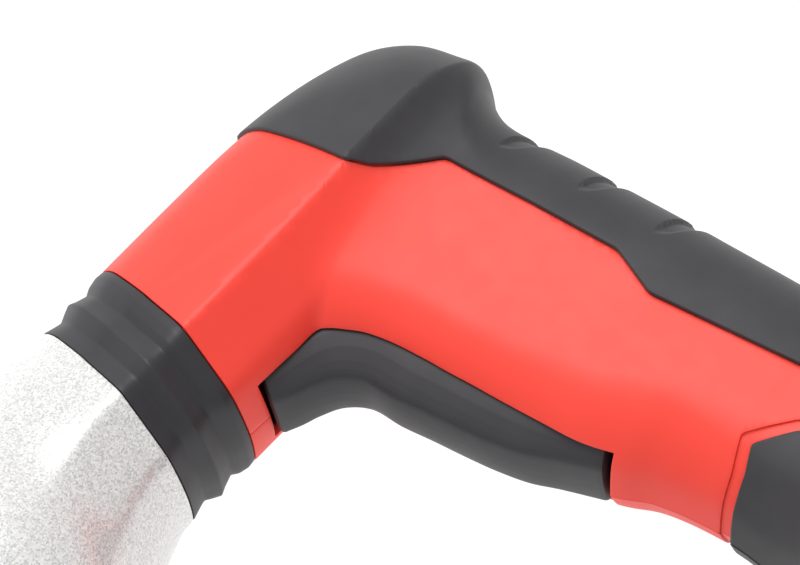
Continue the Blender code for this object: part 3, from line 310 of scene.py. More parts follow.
def add_node(tree, kind, values=None, links=None, **settings):
    """One node: settings are its own, values are its sockets' constants and links are the sockets that feed it."""
    node = tree.nodes.new(kind)
    for name, value in settings.items():
        setattr(node, name, value)
    for name, value in (values or {}).items():
        node.inputs[name].default_value = value
    for name, source in (links or {}).items():
        tree.links.new(source, node.inputs[name])
    return node


def new_finish(name, **constants):
    """A material with its constants on the shader, and the object coordinates that its patterns use."""
    material = bpy.data.materials.new(name)
    material.use_nodes = True
    tree = material.node_tree
    shader = tree.nodes["Principled BSDF"]
    for socket, value in constants.items():
        shader.inputs[socket.replace("_", " ")].default_value = value
    place = add_node(tree, "ShaderNodeTexCoord").outputs["Object"]
    return material, tree, shader, place


def mottled(tree, place, dark, light, size, detail=3.0, low=0.35, high=0.65):
    """A colour that drifts between two tones over a size in mm."""
    noise = add_node(tree, "ShaderNodeTexNoise", {"Scale": per_mm(size), "Detail": detail}, {"Vector": place})
    ramp = add_node(tree, "ShaderNodeValToRGB", links={"Fac": noise.outputs["Fac"]})
    for stop, (at, colour) in zip(ramp.color_ramp.elements, ((low, dark), (high, light))):
        stop.position = at
        stop.color = colour
    return ramp.outputs["Color"]


def uneven(tree, place, size, low, high):
    """A number that drifts between two values over a size in mm."""
    noise = add_node(tree, "ShaderNodeTexNoise", {"Scale": per_mm(size), "Detail": 4.0}, {"Vector": place})
    spread = add_node(tree, "ShaderNodeMapRange", {"From Min": 0.3, "From Max": 0.7, "To Min": low, "To Max": high},
                      {"Value": noise.outputs["Fac"]})
    return spread.outputs["Result"]


def moulded(name, dark, light, roughness, grain, depth, **constants):
    """Moulded plastic or rubber: a spark-eroded grain of a size in mm, flow mottling and uneven gloss."""
    material, tree, shader, place = new_finish(name, **constants)
    tree.links.new(mottled(tree, place, linear(dark), linear(light), 14.0), shader.inputs["Base Color"])
    tree.links.new(uneven(tree, place, 5.0, roughness - 0.02, roughness + 0.02), shader.inputs["Roughness"])
    # The eroded grain of a real mould is about 0.05 mm, so the callers give a coarser one that shows
    pits = add_node(tree, "ShaderNodeTexNoise", {"Scale": per_mm(grain), "Detail": 2.0, "Roughness": 0.6},
                    {"Vector": place})
    bump = add_node(tree, "ShaderNodeBump", {"Strength": 0.5, "Distance": depth * MM},
                    {"Height": pits.outputs["Fac"]})
    tree.links.new(bump.outputs["Normal"], shader.inputs["Normal"])
    return material


def glass_filled_nylon(colours):
    """Glass-filled nylon, injection moulded in a finely eroded tool: a strong red with a dull, even sheen."""
    return moulded("glass_filled_nylon_red", colours.red_shade, colours.red, 0.5, 0.45, 0.02, IOR=1.53)


def soft_touch_rubber(colours):
    """Thermoplastic rubber moulded over the handle: charcoal, nearly matt, with a faint bloom at grazing angles."""
    return moulded("soft_touch_rubber", colours.rubber_shade, colours.rubber, 0.62, 0.4, 0.025, IOR=1.5,
                   Sheen_Weight=0.12, Sheen_Roughness=0.4)


def moulded_nylon(colours):
    """Black nylon, moulded smooth: darker and glossier than the rubber, so its edges catch the light."""
    return moulded("moulded_nylon_black", colours.nylon_shade, colours.nylon, 0.5, 0.5, 0.012, IOR=1.5)


def sparkle_lacquer(colours):
    """Silver lacquer with coarse aluminium flake over a casting: each flake is its own small mirror, and its catch of
    the light is painted into its colour as painted shade or a painted glint.
    """
    material, tree, shader, place = new_finish("sparkle_lacquer_silver", Metallic=0.35, Coat_Weight=0.5,
                                               Coat_Roughness=0.12)
    # Real flake is about 0.1 mm across, too fine to show, so it is drawn at 0.36 mm
    flake = add_node(tree, "ShaderNodeTexVoronoi", {"Scale": per_mm(0.36)}, {"Vector": place})
    bright = add_node(tree, "ShaderNodeSeparateColor", links={"Color": flake.outputs["Color"]})
    ramp = add_node(tree, "ShaderNodeValToRGB", links={"Fac": bright.outputs["Red"]})
    # Painted light: each flake's colour runs from a painted shade to a white painted glint, standing in for flakes
    # turned away from and facing the lamps.
    tones = ((0.0, colours.flake_painted_shade), (0.35, colours.flake), (1.0, colours.flake_painted_glint))
    ramp.color_ramp.elements.new(0.35)
    for stop, (at, colour) in zip(ramp.color_ramp.elements, tones):
        stop.position = at
        stop.color = linear(colour)
    tree.links.new(ramp.outputs["Color"], shader.inputs["Base Color"])
    tree.links.new(uneven(tree, place, 0.8, 0.28, 0.42), shader.inputs["Roughness"])
    tilt = add_node(tree, "ShaderNodeBump", {"Strength": 0.25, "Distance": 0.03 * MM},
                    {"Height": bright.outputs["Green"]})
    tree.links.new(tilt.outputs["Normal"], shader.inputs["Normal"])
    return material


def blasted_alloy(colours):
    """Forged aluminium, bead blasted and clear anodised: an even satin grey with a fine tooth."""
    material, tree, shader, place = new_finish("blasted_alloy_anodised", Metallic=1.0)
    tree.links.new(mottled(tree, place, linear(colours.alloy_shade), linear(colours.alloy), 9.0),
                   shader.inputs["Base Color"])
    tree.links.new(uneven(tree, place, 3.0, 0.4, 0.52), shader.inputs["Roughness"])
    tooth = add_node(tree, "ShaderNodeTexNoise", {"Scale": per_mm(0.5), "Detail": 3.0}, {"Vector": place})
    bump = add_node(tree, "ShaderNodeBump", {"Strength": 0.5, "Distance": 0.03 * MM},
                    {"Height": tooth.outputs["Fac"]})
    tree.links.new(bump.outputs["Normal"], shader.inputs["Normal"])
    return material


def turned_metal(name, dark, light, roughness):
    """Metal turned or ground bright: fine lines drawn out along one way break up its reflections."""
    material, tree, shader, place = new_finish(name, Metallic=1.0)
    tree.links.new(mottled(tree, place, linear(dark), linear(light), 6.0), shader.inputs["Base Color"])
    drawn = add_node(tree, "ShaderNodeMapping", {"Scale": (1.0, 1.0, 12.0)}, {"Vector": place})
    lines = add_node(tree, "ShaderNodeTexNoise", {"Scale": per_mm(2.5), "Detail": 4.0},
                     {"Vector": drawn.outputs["Vector"]})
    spread = add_node(tree, "ShaderNodeMapRange", {"To Min": roughness - 0.08, "To Max": roughness + 0.1},
                      {"Value": lines.outputs["Fac"]})
    tree.links.new(spread.outputs["Result"], shader.inputs["Roughness"])
    bump = add_node(tree, "ShaderNodeBump", {"Strength": 0.25, "Distance": 0.02 * MM},
                    {"Height": lines.outputs["Fac"]})
    tree.links.new(bump.outputs["Normal"], shader.inputs["Normal"])
    return material


def ground_steel(colours):
    """Hardened steel, ground: cool, bright and finely lined."""
    return turned_metal("ground_steel", colours.steel_shade, colours.steel, 0.3)


def phosphated_steel(colours):
    """Phosphated steel: a dry, dark grey coat with a little crystal sparkle left in it."""
    return turned_metal("phosphated_steel", colours.phosphate_shade, colours.phosphate, 0.5)


def bearing_bronze(colours):
    """Cast bearing bronze, turned: warm brown gold."""
    return turned_metal("bearing_bronze", colours.bronze_shade, colours.bronze, 0.35)


def enamelled_winding(colours):
    """Enamelled copper wire wound side by side: round turns under a clear, warm varnish, with painted shade in the
    grooves between them.
    """
    material, tree, shader, place = new_finish("enamelled_copper_winding", Metallic=0.9, Roughness=0.35,
                                               Coat_Weight=0.6)
    turns = add_node(tree, "ShaderNodeTexWave", {"Scale": per_mm(0.9) / 20, "Distortion": 0.4}, {"Vector": place})
    ramp = add_node(tree, "ShaderNodeValToRGB", links={"Fac": turns.outputs["Fac"]})
    # The dark tone between the turns is painted shade in the grooves.
    ramp.color_ramp.elements[0].color = linear(colours.copper_groove_painted_shade)
    ramp.color_ramp.elements[1].color = linear(colours.copper)
    tree.links.new(ramp.outputs["Color"], shader.inputs["Base Color"])
    bump = add_node(tree, "ShaderNodeBump", {"Strength": 0.6, "Distance": 0.2 * MM},
                    {"Height": turns.outputs["Fac"]})
    tree.links.new(bump.outputs["Normal"], shader.inputs["Normal"])
    return material


def circuit_board(colours):
    """Glass-epoxy board under green solder mask: the weave shows faintly through a glossy skin."""
    material, tree, shader, place = new_finish("solder_masked_board", Roughness=0.3, Coat_Weight=0.4)
    weave = add_node(tree, "ShaderNodeTexBrick", {"Scale": per_mm(1.0) / 4}, {"Vector": place})
    weave.inputs["Color1"].default_value = linear(colours.board)
    weave.inputs["Color2"].default_value = linear(colours.board_shade)
    weave.inputs["Mortar"].default_value = linear(colours.board_shade)
    tree.links.new(weave.outputs["Color"], shader.inputs["Base Color"])
    return material


def shrink_wrap(colours):
    """Heat-shrunk film round a cell: smooth, glossy and slightly uneven in tone."""
    return moulded("shrink_wrapped_film", colours.wrap_shade, colours.wrap, 0.25, 2.0, 0.01, IOR=1.5)


FINISHES = {
    "moulded_red": glass_filled_nylon,
    "soft_black": soft_touch_rubber,
    "moulded_black": moulded_nylon,
    "sparkle_silver": sparkle_lacquer,
    "forged_alloy": blasted_alloy,
    "ground_steel": ground_steel,
    "dark_steel": phosphated_steel,
    "bronze": bearing_bronze,
    "winding": enamelled_winding,
    "board_green": circuit_board,
    "cell_wrap": shrink_wrap,
}


MADE_FINISHES = {}


def finish_for(slot):
    """The finish of a material slot, made once."""
    if slot not in MADE_FINISHES:
        MADE_FINISHES[slot] = FINISHES[slot](bpy.context.scene.spreader_colours)
    return MADE_FINISHES[slot]


# ---------------------------------------------------------------- mesh tools

NODE_BODY = {node: body for body, nodes in frame["record"]["behaviour"]["bodies"].items() for node in nodes}
SHARP_DEG = 33.0


def shape(name, points, faces):
    """A mesh object on the tool axis, from points in mm."""
    mesh = bpy.data.meshes.new(name)
    mesh.from_pydata([tuple(float(c) * MM for c in p) for p in points], [], [list(f) for f in faces])
    item = bpy.data.objects.new(name, mesh)
    item.location = AXIS
    bpy.context.scene.collection.objects.link(item)
    return item


def outward(item):
    """Turn every face of a closed shape outwards."""
    builder = bmesh.new()
    builder.from_mesh(item.data)
    bmesh.ops.recalc_face_normals(builder, faces=builder.faces)
    builder.to_mesh(item.data)
    builder.free()
    return item


def settled(item):
    """The shape with its modifiers worked into its mesh."""
    bpy.context.view_layer.update()
    evaluated = item.evaluated_get(bpy.context.evaluated_depsgraph_get())
    mesh = bpy.data.meshes.new_from_object(evaluated)
    item.modifiers.clear()
    old, item.data = item.data, mesh
    bpy.data.meshes.remove(old)
    return item


def carved(item, *tools, operation="DIFFERENCE"):
    """The shape cut by, or joined with, other shapes, which are used up."""
    for tool in tools:
        step = item.modifiers.new(tool.name, "BOOLEAN")
        step.operation = operation
        step.object = tool
        settled(item)
        bpy.data.objects.remove(tool, do_unlink=True)
    return item


def surface_of(item):
    """A shape's surface, to find the nearest place on it."""
    mesh = item.data
    return BVHTree.FromPolygons([v.co for v in mesh.vertices], [tuple(p.vertices) for p in mesh.polygons])


def rounded(item, width, segments=3, angle=38.0, clamp=True):
    """The shape with its edges rounded by a width in mm; corners thrown off its surface are put back on it."""
    surface = None if clamp else surface_of(item)
    bevel = item.modifiers.new("edges", "BEVEL")
    bevel.width = width * MM
    bevel.segments = segments
    bevel.limit_method = "ANGLE"
    bevel.angle_limit = math.radians(angle)
    bevel.use_clamp_overlap = clamp
    settled(item)
    if surface:
        for vertex in item.data.vertices:
            near, _, _, away = surface.find_nearest(vertex.co)
            if away > 0.6 * width * MM:
                vertex.co = near
    return item


def thickened(item, thickness):
    """A skin given a thickness in mm inwards."""
    solid = item.modifiers.new("wall", "SOLIDIFY")
    solid.thickness = thickness * MM
    solid.offset = -1.0
    return settled(item)


def dressed(item, slot, node, *also_nodes, body=None, stands_for=True):
    """Finish a piece, let it ride on a node's body and stand for that node and others."""
    item.data.materials.clear()
    item.data.materials.append(finish_for(slot))
    for polygon in item.data.polygons:
        polygon.material_index = 0
    item.data.shade_smooth()
    item.data.set_sharp_from_angle(angle=math.radians(SHARP_DEG))
    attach(item, body or NODE_BODY[node])
    if stands_for:
        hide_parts(node, *also_nodes)
    return item


def prism(name, outline, low, high, at=(0.0, 0.0, 0.0), axis="z"):
    """An outline across an axis, given in the order of the two other coordinates, drawn from low to high."""
    place = {"z": lambda a, b, h: (a, b, h), "y": lambda a, b, h: (a, h, b), "x": lambda a, b, h: (h, a, b)}[axis]
    at = np.array(at, float)
    count = len(outline)
    points = [at + place(a, b, h) for h in (low, high) for a, b in outline]
    faces = [list(range(count))[::-1], [k + count for k in range(count)]]
    faces += [[k, (k + 1) % count, (k + 1) % count + count, k + count] for k in range(count)]
    return outward(shape(name, points, faces))


def block(name, low, high, at=(0.0, 0.0, 0.0)):
    """A box between two corners."""
    outline = ((low[0], low[1]), (high[0], low[1]), (high[0], high[1]), (low[0], high[1]))
    return prism(name, outline, low[2], high[2], at)


def arc(centre, radius, first_deg, last_deg, steps=12):
    """Points along part of a circle, both ends included."""
    turns = [math.radians(first_deg + (last_deg - first_deg) * k / steps) for k in range(steps + 1)]
    return [(centre[0] + radius * math.cos(t), centre[1] + radius * math.sin(t)) for t in turns]


def regular(radius, sides, start_deg=0.0):
    """The corners of a regular polygon."""
    return arc((0.0, 0.0), radius, start_deg, start_deg + 360.0 * (sides - 1) / sides, sides - 1)


def rod(name, radius, low, high, at=(0.0, 0.0, 0.0), axis="z", sides=64):
    """A round bar along an axis."""
    return prism(name, regular(radius, sides), low, high, at, axis)


def turned(name, profile, at=(0.0, 0.0, 0.0), axis="z", sides=64):
    """A closed profile of (along the axis, radius) pairs swept round the axis."""
    place = {"x": lambda a, c, s: (a, c, s), "y": lambda a, c, s: (s, a, c), "z": lambda a, c, s: (c, s, a)}[axis]
    at = np.array(at, float)
    points, rings, faces = [], [], []
    for along, radius in profile:
        if radius == 0:
            rings.append([len(points)] * sides)
            points.append(at + place(along, 0.0, 0.0))
        else:
            rings.append(list(range(len(points), len(points) + sides)))
            points += [at + place(along, c, s) for c, s in regular(radius, sides)]
    closing = [] if profile[0][1] == 0 else [(len(profile) - 1, 0)]
    for first, second in [(k, k + 1) for k in range(len(profile) - 1)] + closing:
        for i in range(sides):
            j = (i + 1) % sides
            corners = list(dict.fromkeys((rings[first][i], rings[first][j], rings[second][j], rings[second][i])))
            if len(corners) > 2:
                faces.append(corners)
    return outward(shape(name, points, faces))


def soft_profile(profile, radius, steps=4, share=2.1):
    """A line of points with its inner corners rounded, each over no more than 1 / share of a side."""
    path = [np.array(p, float) for p in profile]
    result = [tuple(path[0])]
    for before, here, after in zip(path, path[1:], path[2:]):
        reach = min(radius, np.linalg.norm(before - here) / share, np.linalg.norm(after - here) / share)
        first = here + (before - here) / np.linalg.norm(before - here) * reach
        last = here + (after - here) / np.linalg.norm(after - here) * reach
        for k in range(steps + 1):
            t = k / steps
            result.append(tuple((1 - t) ** 2 * first + 2 * t * (1 - t) * here + t * t * last))
    return result + [tuple(path[-1])]


def ring_faces(rows, count, closed=False):
    """Quads between rings of points; a closed set joins the last ring to the first."""
    faces = []
    for i in range(rows if closed else rows - 1):
        a, b = i * count, ((i + 1) % rows) * count
        faces += [[a + j, a + (j + 1) % count, b + (j + 1) % count, b + j] for j in range(count)]
    return faces


def swept(name, path, radii, sides=24, at=(0.0, 0.0, 0.0)):
    """A round bar along a path, with a radius at each of its points and flat ends."""
    path = [Vector(p) for p in path]
    points, side = [], None
    for i, here in enumerate(path):
        ahead = (path[min(i + 1, len(path) - 1)] - path[max(i - 1, 0)]).normalized()
        side = ahead.orthogonal().normalized() if side is None else (side - ahead * side.dot(ahead)).normalized()
        other = ahead.cross(side)
        points += [np.array(at) + np.array(here + side * c + other * s) for c, s in regular(radii[i], sides)]
    faces = ring_faces(len(path), sides)
    faces += [list(range(sides)), [(len(path) - 1) * sides + j for j in range(sides)]]
    return outward(shape(name, points, faces))


# ---------------------------------------------------------------- handle

SEAM_GAP = 0.05
BACK_EDGE, FRONT_EDGE = 0.0, math.pi
PAST_BACK, PAST_FRONT = -1, 4
PAD_HEIGHT = 0.7
SKIN_BELOW = 0.45
SLOT_HALF_WIDTH = 10.6
SLOT_START = 0.93
SLOT_END = 15.82


def slot_line():
    """The edge of the trigger slot, as places on the handle's left side."""
    line = []
    for u in np.linspace(SLOT_START, SLOT_END, 190):
        low, high = math.pi / 2, math.pi
        for _ in range(30):
            middle = (low + high) / 2
            wide = handle_points(np.array([u]), np.array([middle]), 0.0)[0, 2]
            low, high = (middle, high) if wide > SLOT_HALF_WIDTH else (low, middle)
        line.append((u, low))
    first = [(SLOT_START, v) for v in np.linspace(math.pi, line[0][1], 14)[:-1]]
    last = [(SLOT_END, v) for v in np.linspace(line[-1][1], math.pi, 14)[1:]]
    return np.array(first + line + last)


def ridge_lines(grow, first_x, last_x):
    """Two lines, close on each side of the ridge, that keep it straight between two places along the barrel."""
    lines = []
    for offset in (-RIDGE_ROUND, RIDGE_ROUND):
        outline = [(first_x, RIDGE_Y + offset), (last_x, RIDGE_Y + offset)]
        lines.append(to_lattice(densified(outline, 0.9), grow))
    return lines


def left_and_right(points, faces, side):
    """A skin made for the left side, set off from the parting plane or mirrored to the right."""
    points = points.copy()
    points[:, 2] = np.maximum(points[:, 2], 0.0) + SEAM_GAP
    if side > 0:
        return points, faces
    points[:, 2] *= -1
    return points, [f[::-1] for f in faces]


def facing_out(points, faces):
    """A left-side skin's faces, turned over if they look inwards."""
    sample = faces[len(faces) // 2]
    a, b, c = (points[k] for k in sample[:3])
    return faces if np.cross(b - a, c - a)[2] > 0 else [f[::-1] for f in faces]


def zone_line(outline, step, corner, grow, edge):
    """A zone's outline as places on the handle, from its back or front edge to the end of the foot."""
    line = to_lattice(densified(outline, step, corner), grow)
    line[0][1] = edge
    line[-1][0] = LAST_STATION
    return line


def zone_area(line, beyond):
    """The area between a zone's line and a place beyond the edge that the line starts from."""
    past_foot = LAST_STATION + 1
    return np.vstack([line, [(past_foot, line[-1][1]), (past_foot, beyond), (line[0][0], beyond)]])


def kept_within(places, faces, area):
    """The faces whose middles lie in an area, and only the places that they use."""
    middles = np.array([places[list(f)].mean(axis=0) for f in faces])
    kept = [f for f, keep in zip(faces, inside(middles, area)) if keep]
    used = sorted({k for f in kept for k in f})
    renumber = {k: i for i, k in enumerate(used)}
    return places[used], [tuple(renumber[k] for k in f) for f in kept]


def make_housings(sizes):
    """Two moulded shells: recessed under the cover and pads, stepped round the pads and slotted for the trigger."""
    cover = zone_line(COVER_OUTLINE, 0.9, 1.2, 0.0, BACK_EDGE)
    pad = zone_line(PAD_OUTLINE, 0.9, 0.8, 0.0, FRONT_EDGE)
    strip = zone_line(STRIP_OUTLINE, 0.9, 0.8, 0.0, FRONT_EDGE)
    slot = slot_line()
    areas = (
        (None, slot),
        (1, zone_area(cover, PAST_BACK)),
        (3, zone_area(pad, PAST_FRONT)),
        (2, zone_area(strip, PAST_FRONT)),
    )
    heights = {0: 0.0, 1: -sizes.recess_depth, 2: -sizes.strip_depth, 3: -sizes.recess_depth}
    us = np.linspace(0, LAST_STATION, LAST_STATION * 10 + 1)
    vs = np.linspace(0, math.pi, 61)
    for side, name in ((1, "left"), (-1, "right")):
        holes = []
        if side < 0:
            holes = [to_lattice(arc(place, SCREW_SINK_RADIUS, 0, 360, 24), 0.0) for place in SCREW_PLACES]
        places, faces = triangles_along(us, vs, [cover, pad, strip, slot, *ridge_lines(0.0, -4.0, 46.5), *holes])
        middles = np.array([places[list(f)].mean(axis=0) for f in faces])
        zones = [0] * len(faces)
        for zone, polygon in reversed(areas):
            for k in np.nonzero(inside(middles, polygon))[0]:
                zones[k] = zone
        for hole in holes:
            for k in np.nonzero(inside(middles, hole))[0]:
                zones[k] = None
        points, skin = zoned_skin(places, faces, zones, heights)
        points, skin = left_and_right(points, facing_out(points, skin), side)
        shell = thickened(shape(f"{name}_shell", points, skin), sizes.wall)
        shell = rounded(shell, sizes.edge_round, 2, 50.0, clamp=False)
        dressed(shell, "moulded_red", f"{name}_housing")


def notch_depth(points, u, v, grow, deepest):
    """How far each point of the cover's skin sinks into the three thumb notches."""
    back, front, _ = edges_at(u, grow)
    from_back = np.linalg.norm(back - front, axis=-1) * (1 - np.cos(v)) / 2
    depth = np.zeros(len(points))
    near = np.clip(1 - (from_back / NOTCH_REACH) ** 2, 0, 1)
    length = NOTCH_LENGTH * np.sqrt(near) + 1e-6
    for wall in NOTCH_WALLS:
        down = wall + 0.8 * np.sin(np.pi * from_back / NOTCH_REACH) - points[:, 1]
        floor = deepest * (1 - 0.45 * np.clip(down / length, 0, 1)) * np.minimum(1, 2.2 * near)
        opening = np.clip(down / 0.35, 0, 1) * np.clip((length - down) / 1.3, 0, 1)
        depth = np.maximum(depth, floor * opening * opening * (3 - 2 * opening))
    return depth


def both_sides(points, faces):
    """A left-side skin joined to its own mirror image."""
    count = len(points)
    mirrored = points * np.array([1, 1, -1])
    return np.vstack([points, mirrored]), list(faces) + [tuple(k + count for k in f[::-1]) for f in faces]


def joined(item):
    """Merge the points where two halves meet."""
    builder = bmesh.new()
    builder.from_mesh(item.data)
    bmesh.ops.remove_doubles(builder, verts=builder.verts, dist=0.004 * MM)
    builder.to_mesh(item.data)
    builder.free()
    return item


def make_cover(sizes):
    """The soft cover: it caps the barrel, runs down the grip's back and has three thumb notches."""
    line = zone_line(COVER_OUTLINE, 0.6, 1.0, sizes.cover_height, BACK_EDGE)
    us = np.concatenate([np.arange(2.6, 10.4, 0.09), np.arange(10.4, 16.2, 0.034),
                         np.arange(16.2, LAST_STATION, 0.1), [LAST_STATION]])
    vs = np.linspace(0, line[:, 1].max() + 0.15, 64)
    places, faces = triangles_along(us, vs, [line, *ridge_lines(sizes.cover_height, 51.5, 78.0)])
    places, faces = kept_within(places, faces, zone_area(line, PAST_BACK))
    u, v = places.T
    grow = np.full(len(u), sizes.cover_height)
    grow = grow - notch_depth(handle_points(u, v, grow), u, v, grow, sizes.notch_depth)
    points = handle_points(u, v, grow)
    cover = joined(shape("soft_cover", *both_sides(points, facing_out(points, faces))))
    cover = thickened(cover, sizes.cover_height + SKIN_BELOW)
    cover = rounded(cover, 0.28, 3, 55.0, clamp=False)
    dressed(cover, "soft_black", "rear_cover")


def make_pads(sizes):
    """Rubber pads let into the foot, one on each half."""
    line = zone_line(PAD_OUTLINE, 0.8, 0.7, PAD_HEIGHT, FRONT_EDGE)
    us = np.linspace(18.0, LAST_STATION, 50)
    vs = np.linspace(1.2, math.pi, 60)
    places, faces = triangles_along(us, vs, [line])
    places, faces = kept_within(places, faces, zone_area(line, PAST_FRONT))
    u, v = places.T
    points = handle_points(u, v, PAD_HEIGHT)
    faces = facing_out(points, faces)
    for side, name in ((1, "left"), (-1, "right")):
        flat, skin = left_and_right(points + np.array([0, 0, 0.25]), faces, side)
        pad = thickened(shape(f"{name}_grip_pad", flat, skin), PAD_HEIGHT + SKIN_BELOW)
        dressed(rounded(pad, 0.35, 3, 55.0, clamp=False), "soft_black", f"{name}_foot_pad")


# ---------------------------------------------------------------- trigger

TRIGGER_FACE = (
    (4.3, -25.0), (8.5, -27.4), (12.2, -29.0), (16.4, -31.8), (19.4, -36.4), (20.1, -43.3), (21.6, -50.7),
    (23.1, -58.8), (24.5, -65.2), (26.6, -72.0), (29.6, -78.0), (33.7, -87.2),
)
TRIGGER_DEPTHS = (6.5, 9.0, 10.3, 13.2, 12.6, 12.8, 12.3, 11.8, 11.2, 10.2, 8.2, 6.2)
TRIGGER_PROFILE = (
    (1.0, 10.2), (0.73, 10.0), (0.5, 9.2), (0.3, 8.2), (0.18, 7.45), (0.125, 6.95), (0.085, 6.4), (0.06, 5.7),
    (0.04, 4.7), (0.02, 3.3), (0.006, 1.7), (0.0, 0.0),
)
TRIGGER_END_ROUND = 1.3


def smooth_path(points, count):
    """Points read evenly by length from a smooth curve through the given ones."""
    fine = curve_at(points, np.linspace(0, len(points) - 1, count * 4))
    reach = np.concatenate([[0], np.cumsum(np.linalg.norm(np.diff(fine[:, :2], axis=0), axis=1))])
    at = np.linspace(0, reach[-1], count)
    return np.stack([np.interp(at, reach, fine[:, k]) for k in range(fine.shape[1])], axis=1), at


def make_trigger():
    """The paddle: drafted sides, a crease where they turn into the crowned finger face, and soft ends."""
    path, along = smooth_path([(*p, d) for p, d in zip(TRIGGER_FACE, TRIGGER_DEPTHS)], 120)
    flat, depth = path[:, :2], path[:, 2]
    heading = np.gradient(flat, axis=0)
    heading /= np.linalg.norm(heading, axis=1, keepdims=True)
    inward = np.stack([-heading[:, 1], heading[:, 0]], axis=1)
    half = np.array(soft_profile(TRIGGER_PROFILE, 0.05, 2))
    loop = np.vstack([half, half[-2::-1] * np.array([1, -1])])
    rings = []
    for k in range(len(along)):
        end = min(along[k], along[-1] - along[k])
        shrink = TRIGGER_END_ROUND * (1 - float(round_edge(end / TRIGGER_END_ROUND)))
        deep = depth[k] * loop[:, 0] + shrink * (1 - loop[:, 0])
        wide = loop[:, 1] * (1 - shrink / TRIGGER_PROFILE[0][1])
        xy = flat[k] + inward[k] * deep[:, None]
        rings.append(np.column_stack([xy, wide]))
    rings = np.array(rings)
    count = len(loop)
    faces = ring_faces(len(rings), count)
    faces += [list(range(count)), [(len(rings) - 1) * count + j for j in range(count)]]
    paddle = outward(shape("trigger_paddle", rings.reshape(-1, 3), faces))
    dressed(paddle, "moulded_black", "trigger")


# ---------------------------------------------------------------- collar and casting

RING_POINTS = 260
COLLAR_PROFILE = (
    (0.3, -0.5), (0.32, 0.0), (2.1, 0.2), (4.4, -0.3), (6.1, -1.3), (8.7, -0.45), (10.2, 0.25), (10.7, 0.0),
    (12.0, -0.6), (13.7, -1.5), (14.6, -1.35), (15.9, -1.0), (17.9, -0.4), (17.95, -0.8),
)
CASTING_STATIONS = (
    (18.15, -1.2, 0.0, 0, 26), (18.25, -0.5, 0.0, 0, 26), (19.5, -0.35, 0.01, 0, 26), (21.5, -0.2, 0.03, 0, 26),
    (27.0, 1.0, 0.14, -4, 27), (36.0, 2.6, 0.4, -7, 28.5), (45.5, 4.0, 0.85, -8, 32.2), (55.0, 4.0, 1.0, -7.5, 36.0),
    (66.0, 4.0, 1.0, -6.3, 38.4), (80.0, 4.0, 1.0, -6, 39), (120.0, 4.0, 1.0, -6, 39), (160.0, 4.0, 1.0, -6, 39),
    (189.5, 4.0, 1.0, -6, 39), (191.4, 4.0, 1.0, -6, 38.2), (192.0, 4.0, 1.0, -6, 36.6),
)
CYLINDER_Y = -6.0
FRONT_X = 2.5
FRONT_SLOPE = 0.156
COLLAR_BORE = 18.0
GEAR_BORE = 17.5
CYLINDER_BORE = 24.3
HANDLE_FEET_X = (-102.0, -178.0)
KNOB_X = -70.0


def front_ring(softness):
    """The barrel's front edge as a ring of evenly spaced points, its corners softened."""
    v = np.linspace(0, math.pi, 400)
    left = handle_points(np.zeros(400), v, 0.0)
    ring = np.vstack([left, left[-2:0:-1] * np.array([1, 1, -1])])
    closed = np.vstack([ring, ring[:1]])
    reach = np.concatenate([[0], np.cumsum(np.linalg.norm(np.diff(closed, axis=0), axis=1))])
    at = np.linspace(0, reach[-1], RING_POINTS, endpoint=False)
    ring = np.stack([np.interp(at, reach, closed[:, k]) for k in range(3)], axis=1)
    for _ in range(softness):
        ring = (np.roll(ring, 1, axis=0) + 2 * ring + np.roll(ring, -1, axis=0)) / 4
    return ring


def scaled_ring(ring, advance, grow, roundness=0.0, centre_y=0.0, radius=1.0):
    """The front ring made larger by grow mm, moved forward, and turned by degrees into a circle."""
    middle = np.array([0.0, (BARREL_TOP + BARREL_BOTTOM) / 2, 0.0])
    formed = middle + (ring - middle) * (1 + grow / 25.0)
    turn = 2 * np.pi * np.arange(len(ring)) / len(ring)
    circle = np.stack([turn * 0, centre_y + radius * np.cos(turn), radius * np.sin(turn)], axis=1)
    formed = formed * (1 - roundness) + circle * roundness
    formed[:, 0] = (FRONT_X + FRONT_SLOPE * formed[:, 1]) * (1 - roundness) - advance
    return formed


def curve_through(stations, steps):
    """Stations with others read between them from a smooth curve."""
    last = len(stations) - 1
    return curve_at(stations, np.linspace(0, last, last * steps + 1))


def tube(name, outer, inner):
    """A closed tube between an outer and an inner set of rings, both given from the rear to the front."""
    rings = np.array(list(outer) + list(inner)[::-1])
    rows, count = rings.shape[:2]
    return outward(shape(name, rings.reshape(-1, 3), ring_faces(rows, count, closed=True)))


def circle_ring(x, radius, y=0.0):
    """A ring of points across the tool axis."""
    turn = 2 * np.pi * np.arange(RING_POINTS) / RING_POINTS
    return np.stack([turn * 0 + x, y + radius * np.cos(turn), radius * np.sin(turn)], axis=1)


def make_collar():
    """The twin-groove collar; its corners line up with the barrel's ridges."""
    ring = front_ring(9)
    profile = soft_profile(COLLAR_PROFILE, 0.35, 3)
    outer = [scaled_ring(ring, advance, grow) for advance, grow in profile]
    inner = [circle_ring(ring[:, 0].mean(), COLLAR_BORE) for ring in (outer[0], outer[-1])]
    collar = tube("grooved_collar", outer, inner)
    dressed(collar, "moulded_black", "collar")


def boss_profile(radius, base, top, flare):
    """A cast boss: a fillet at its foot and a rounded rim."""
    foot = [(base, 0), (base, radius + flare)]
    foot += [(base + flare * (1 - math.cos(t)) + 0.01, radius + flare * (1 - math.sin(t)))
             for t in np.linspace(0.15, math.pi / 2, 8)]
    return foot + [(top - 1.2, radius), (top - 0.35, radius - 0.35), (top, radius - 1.2), (top, 0)]


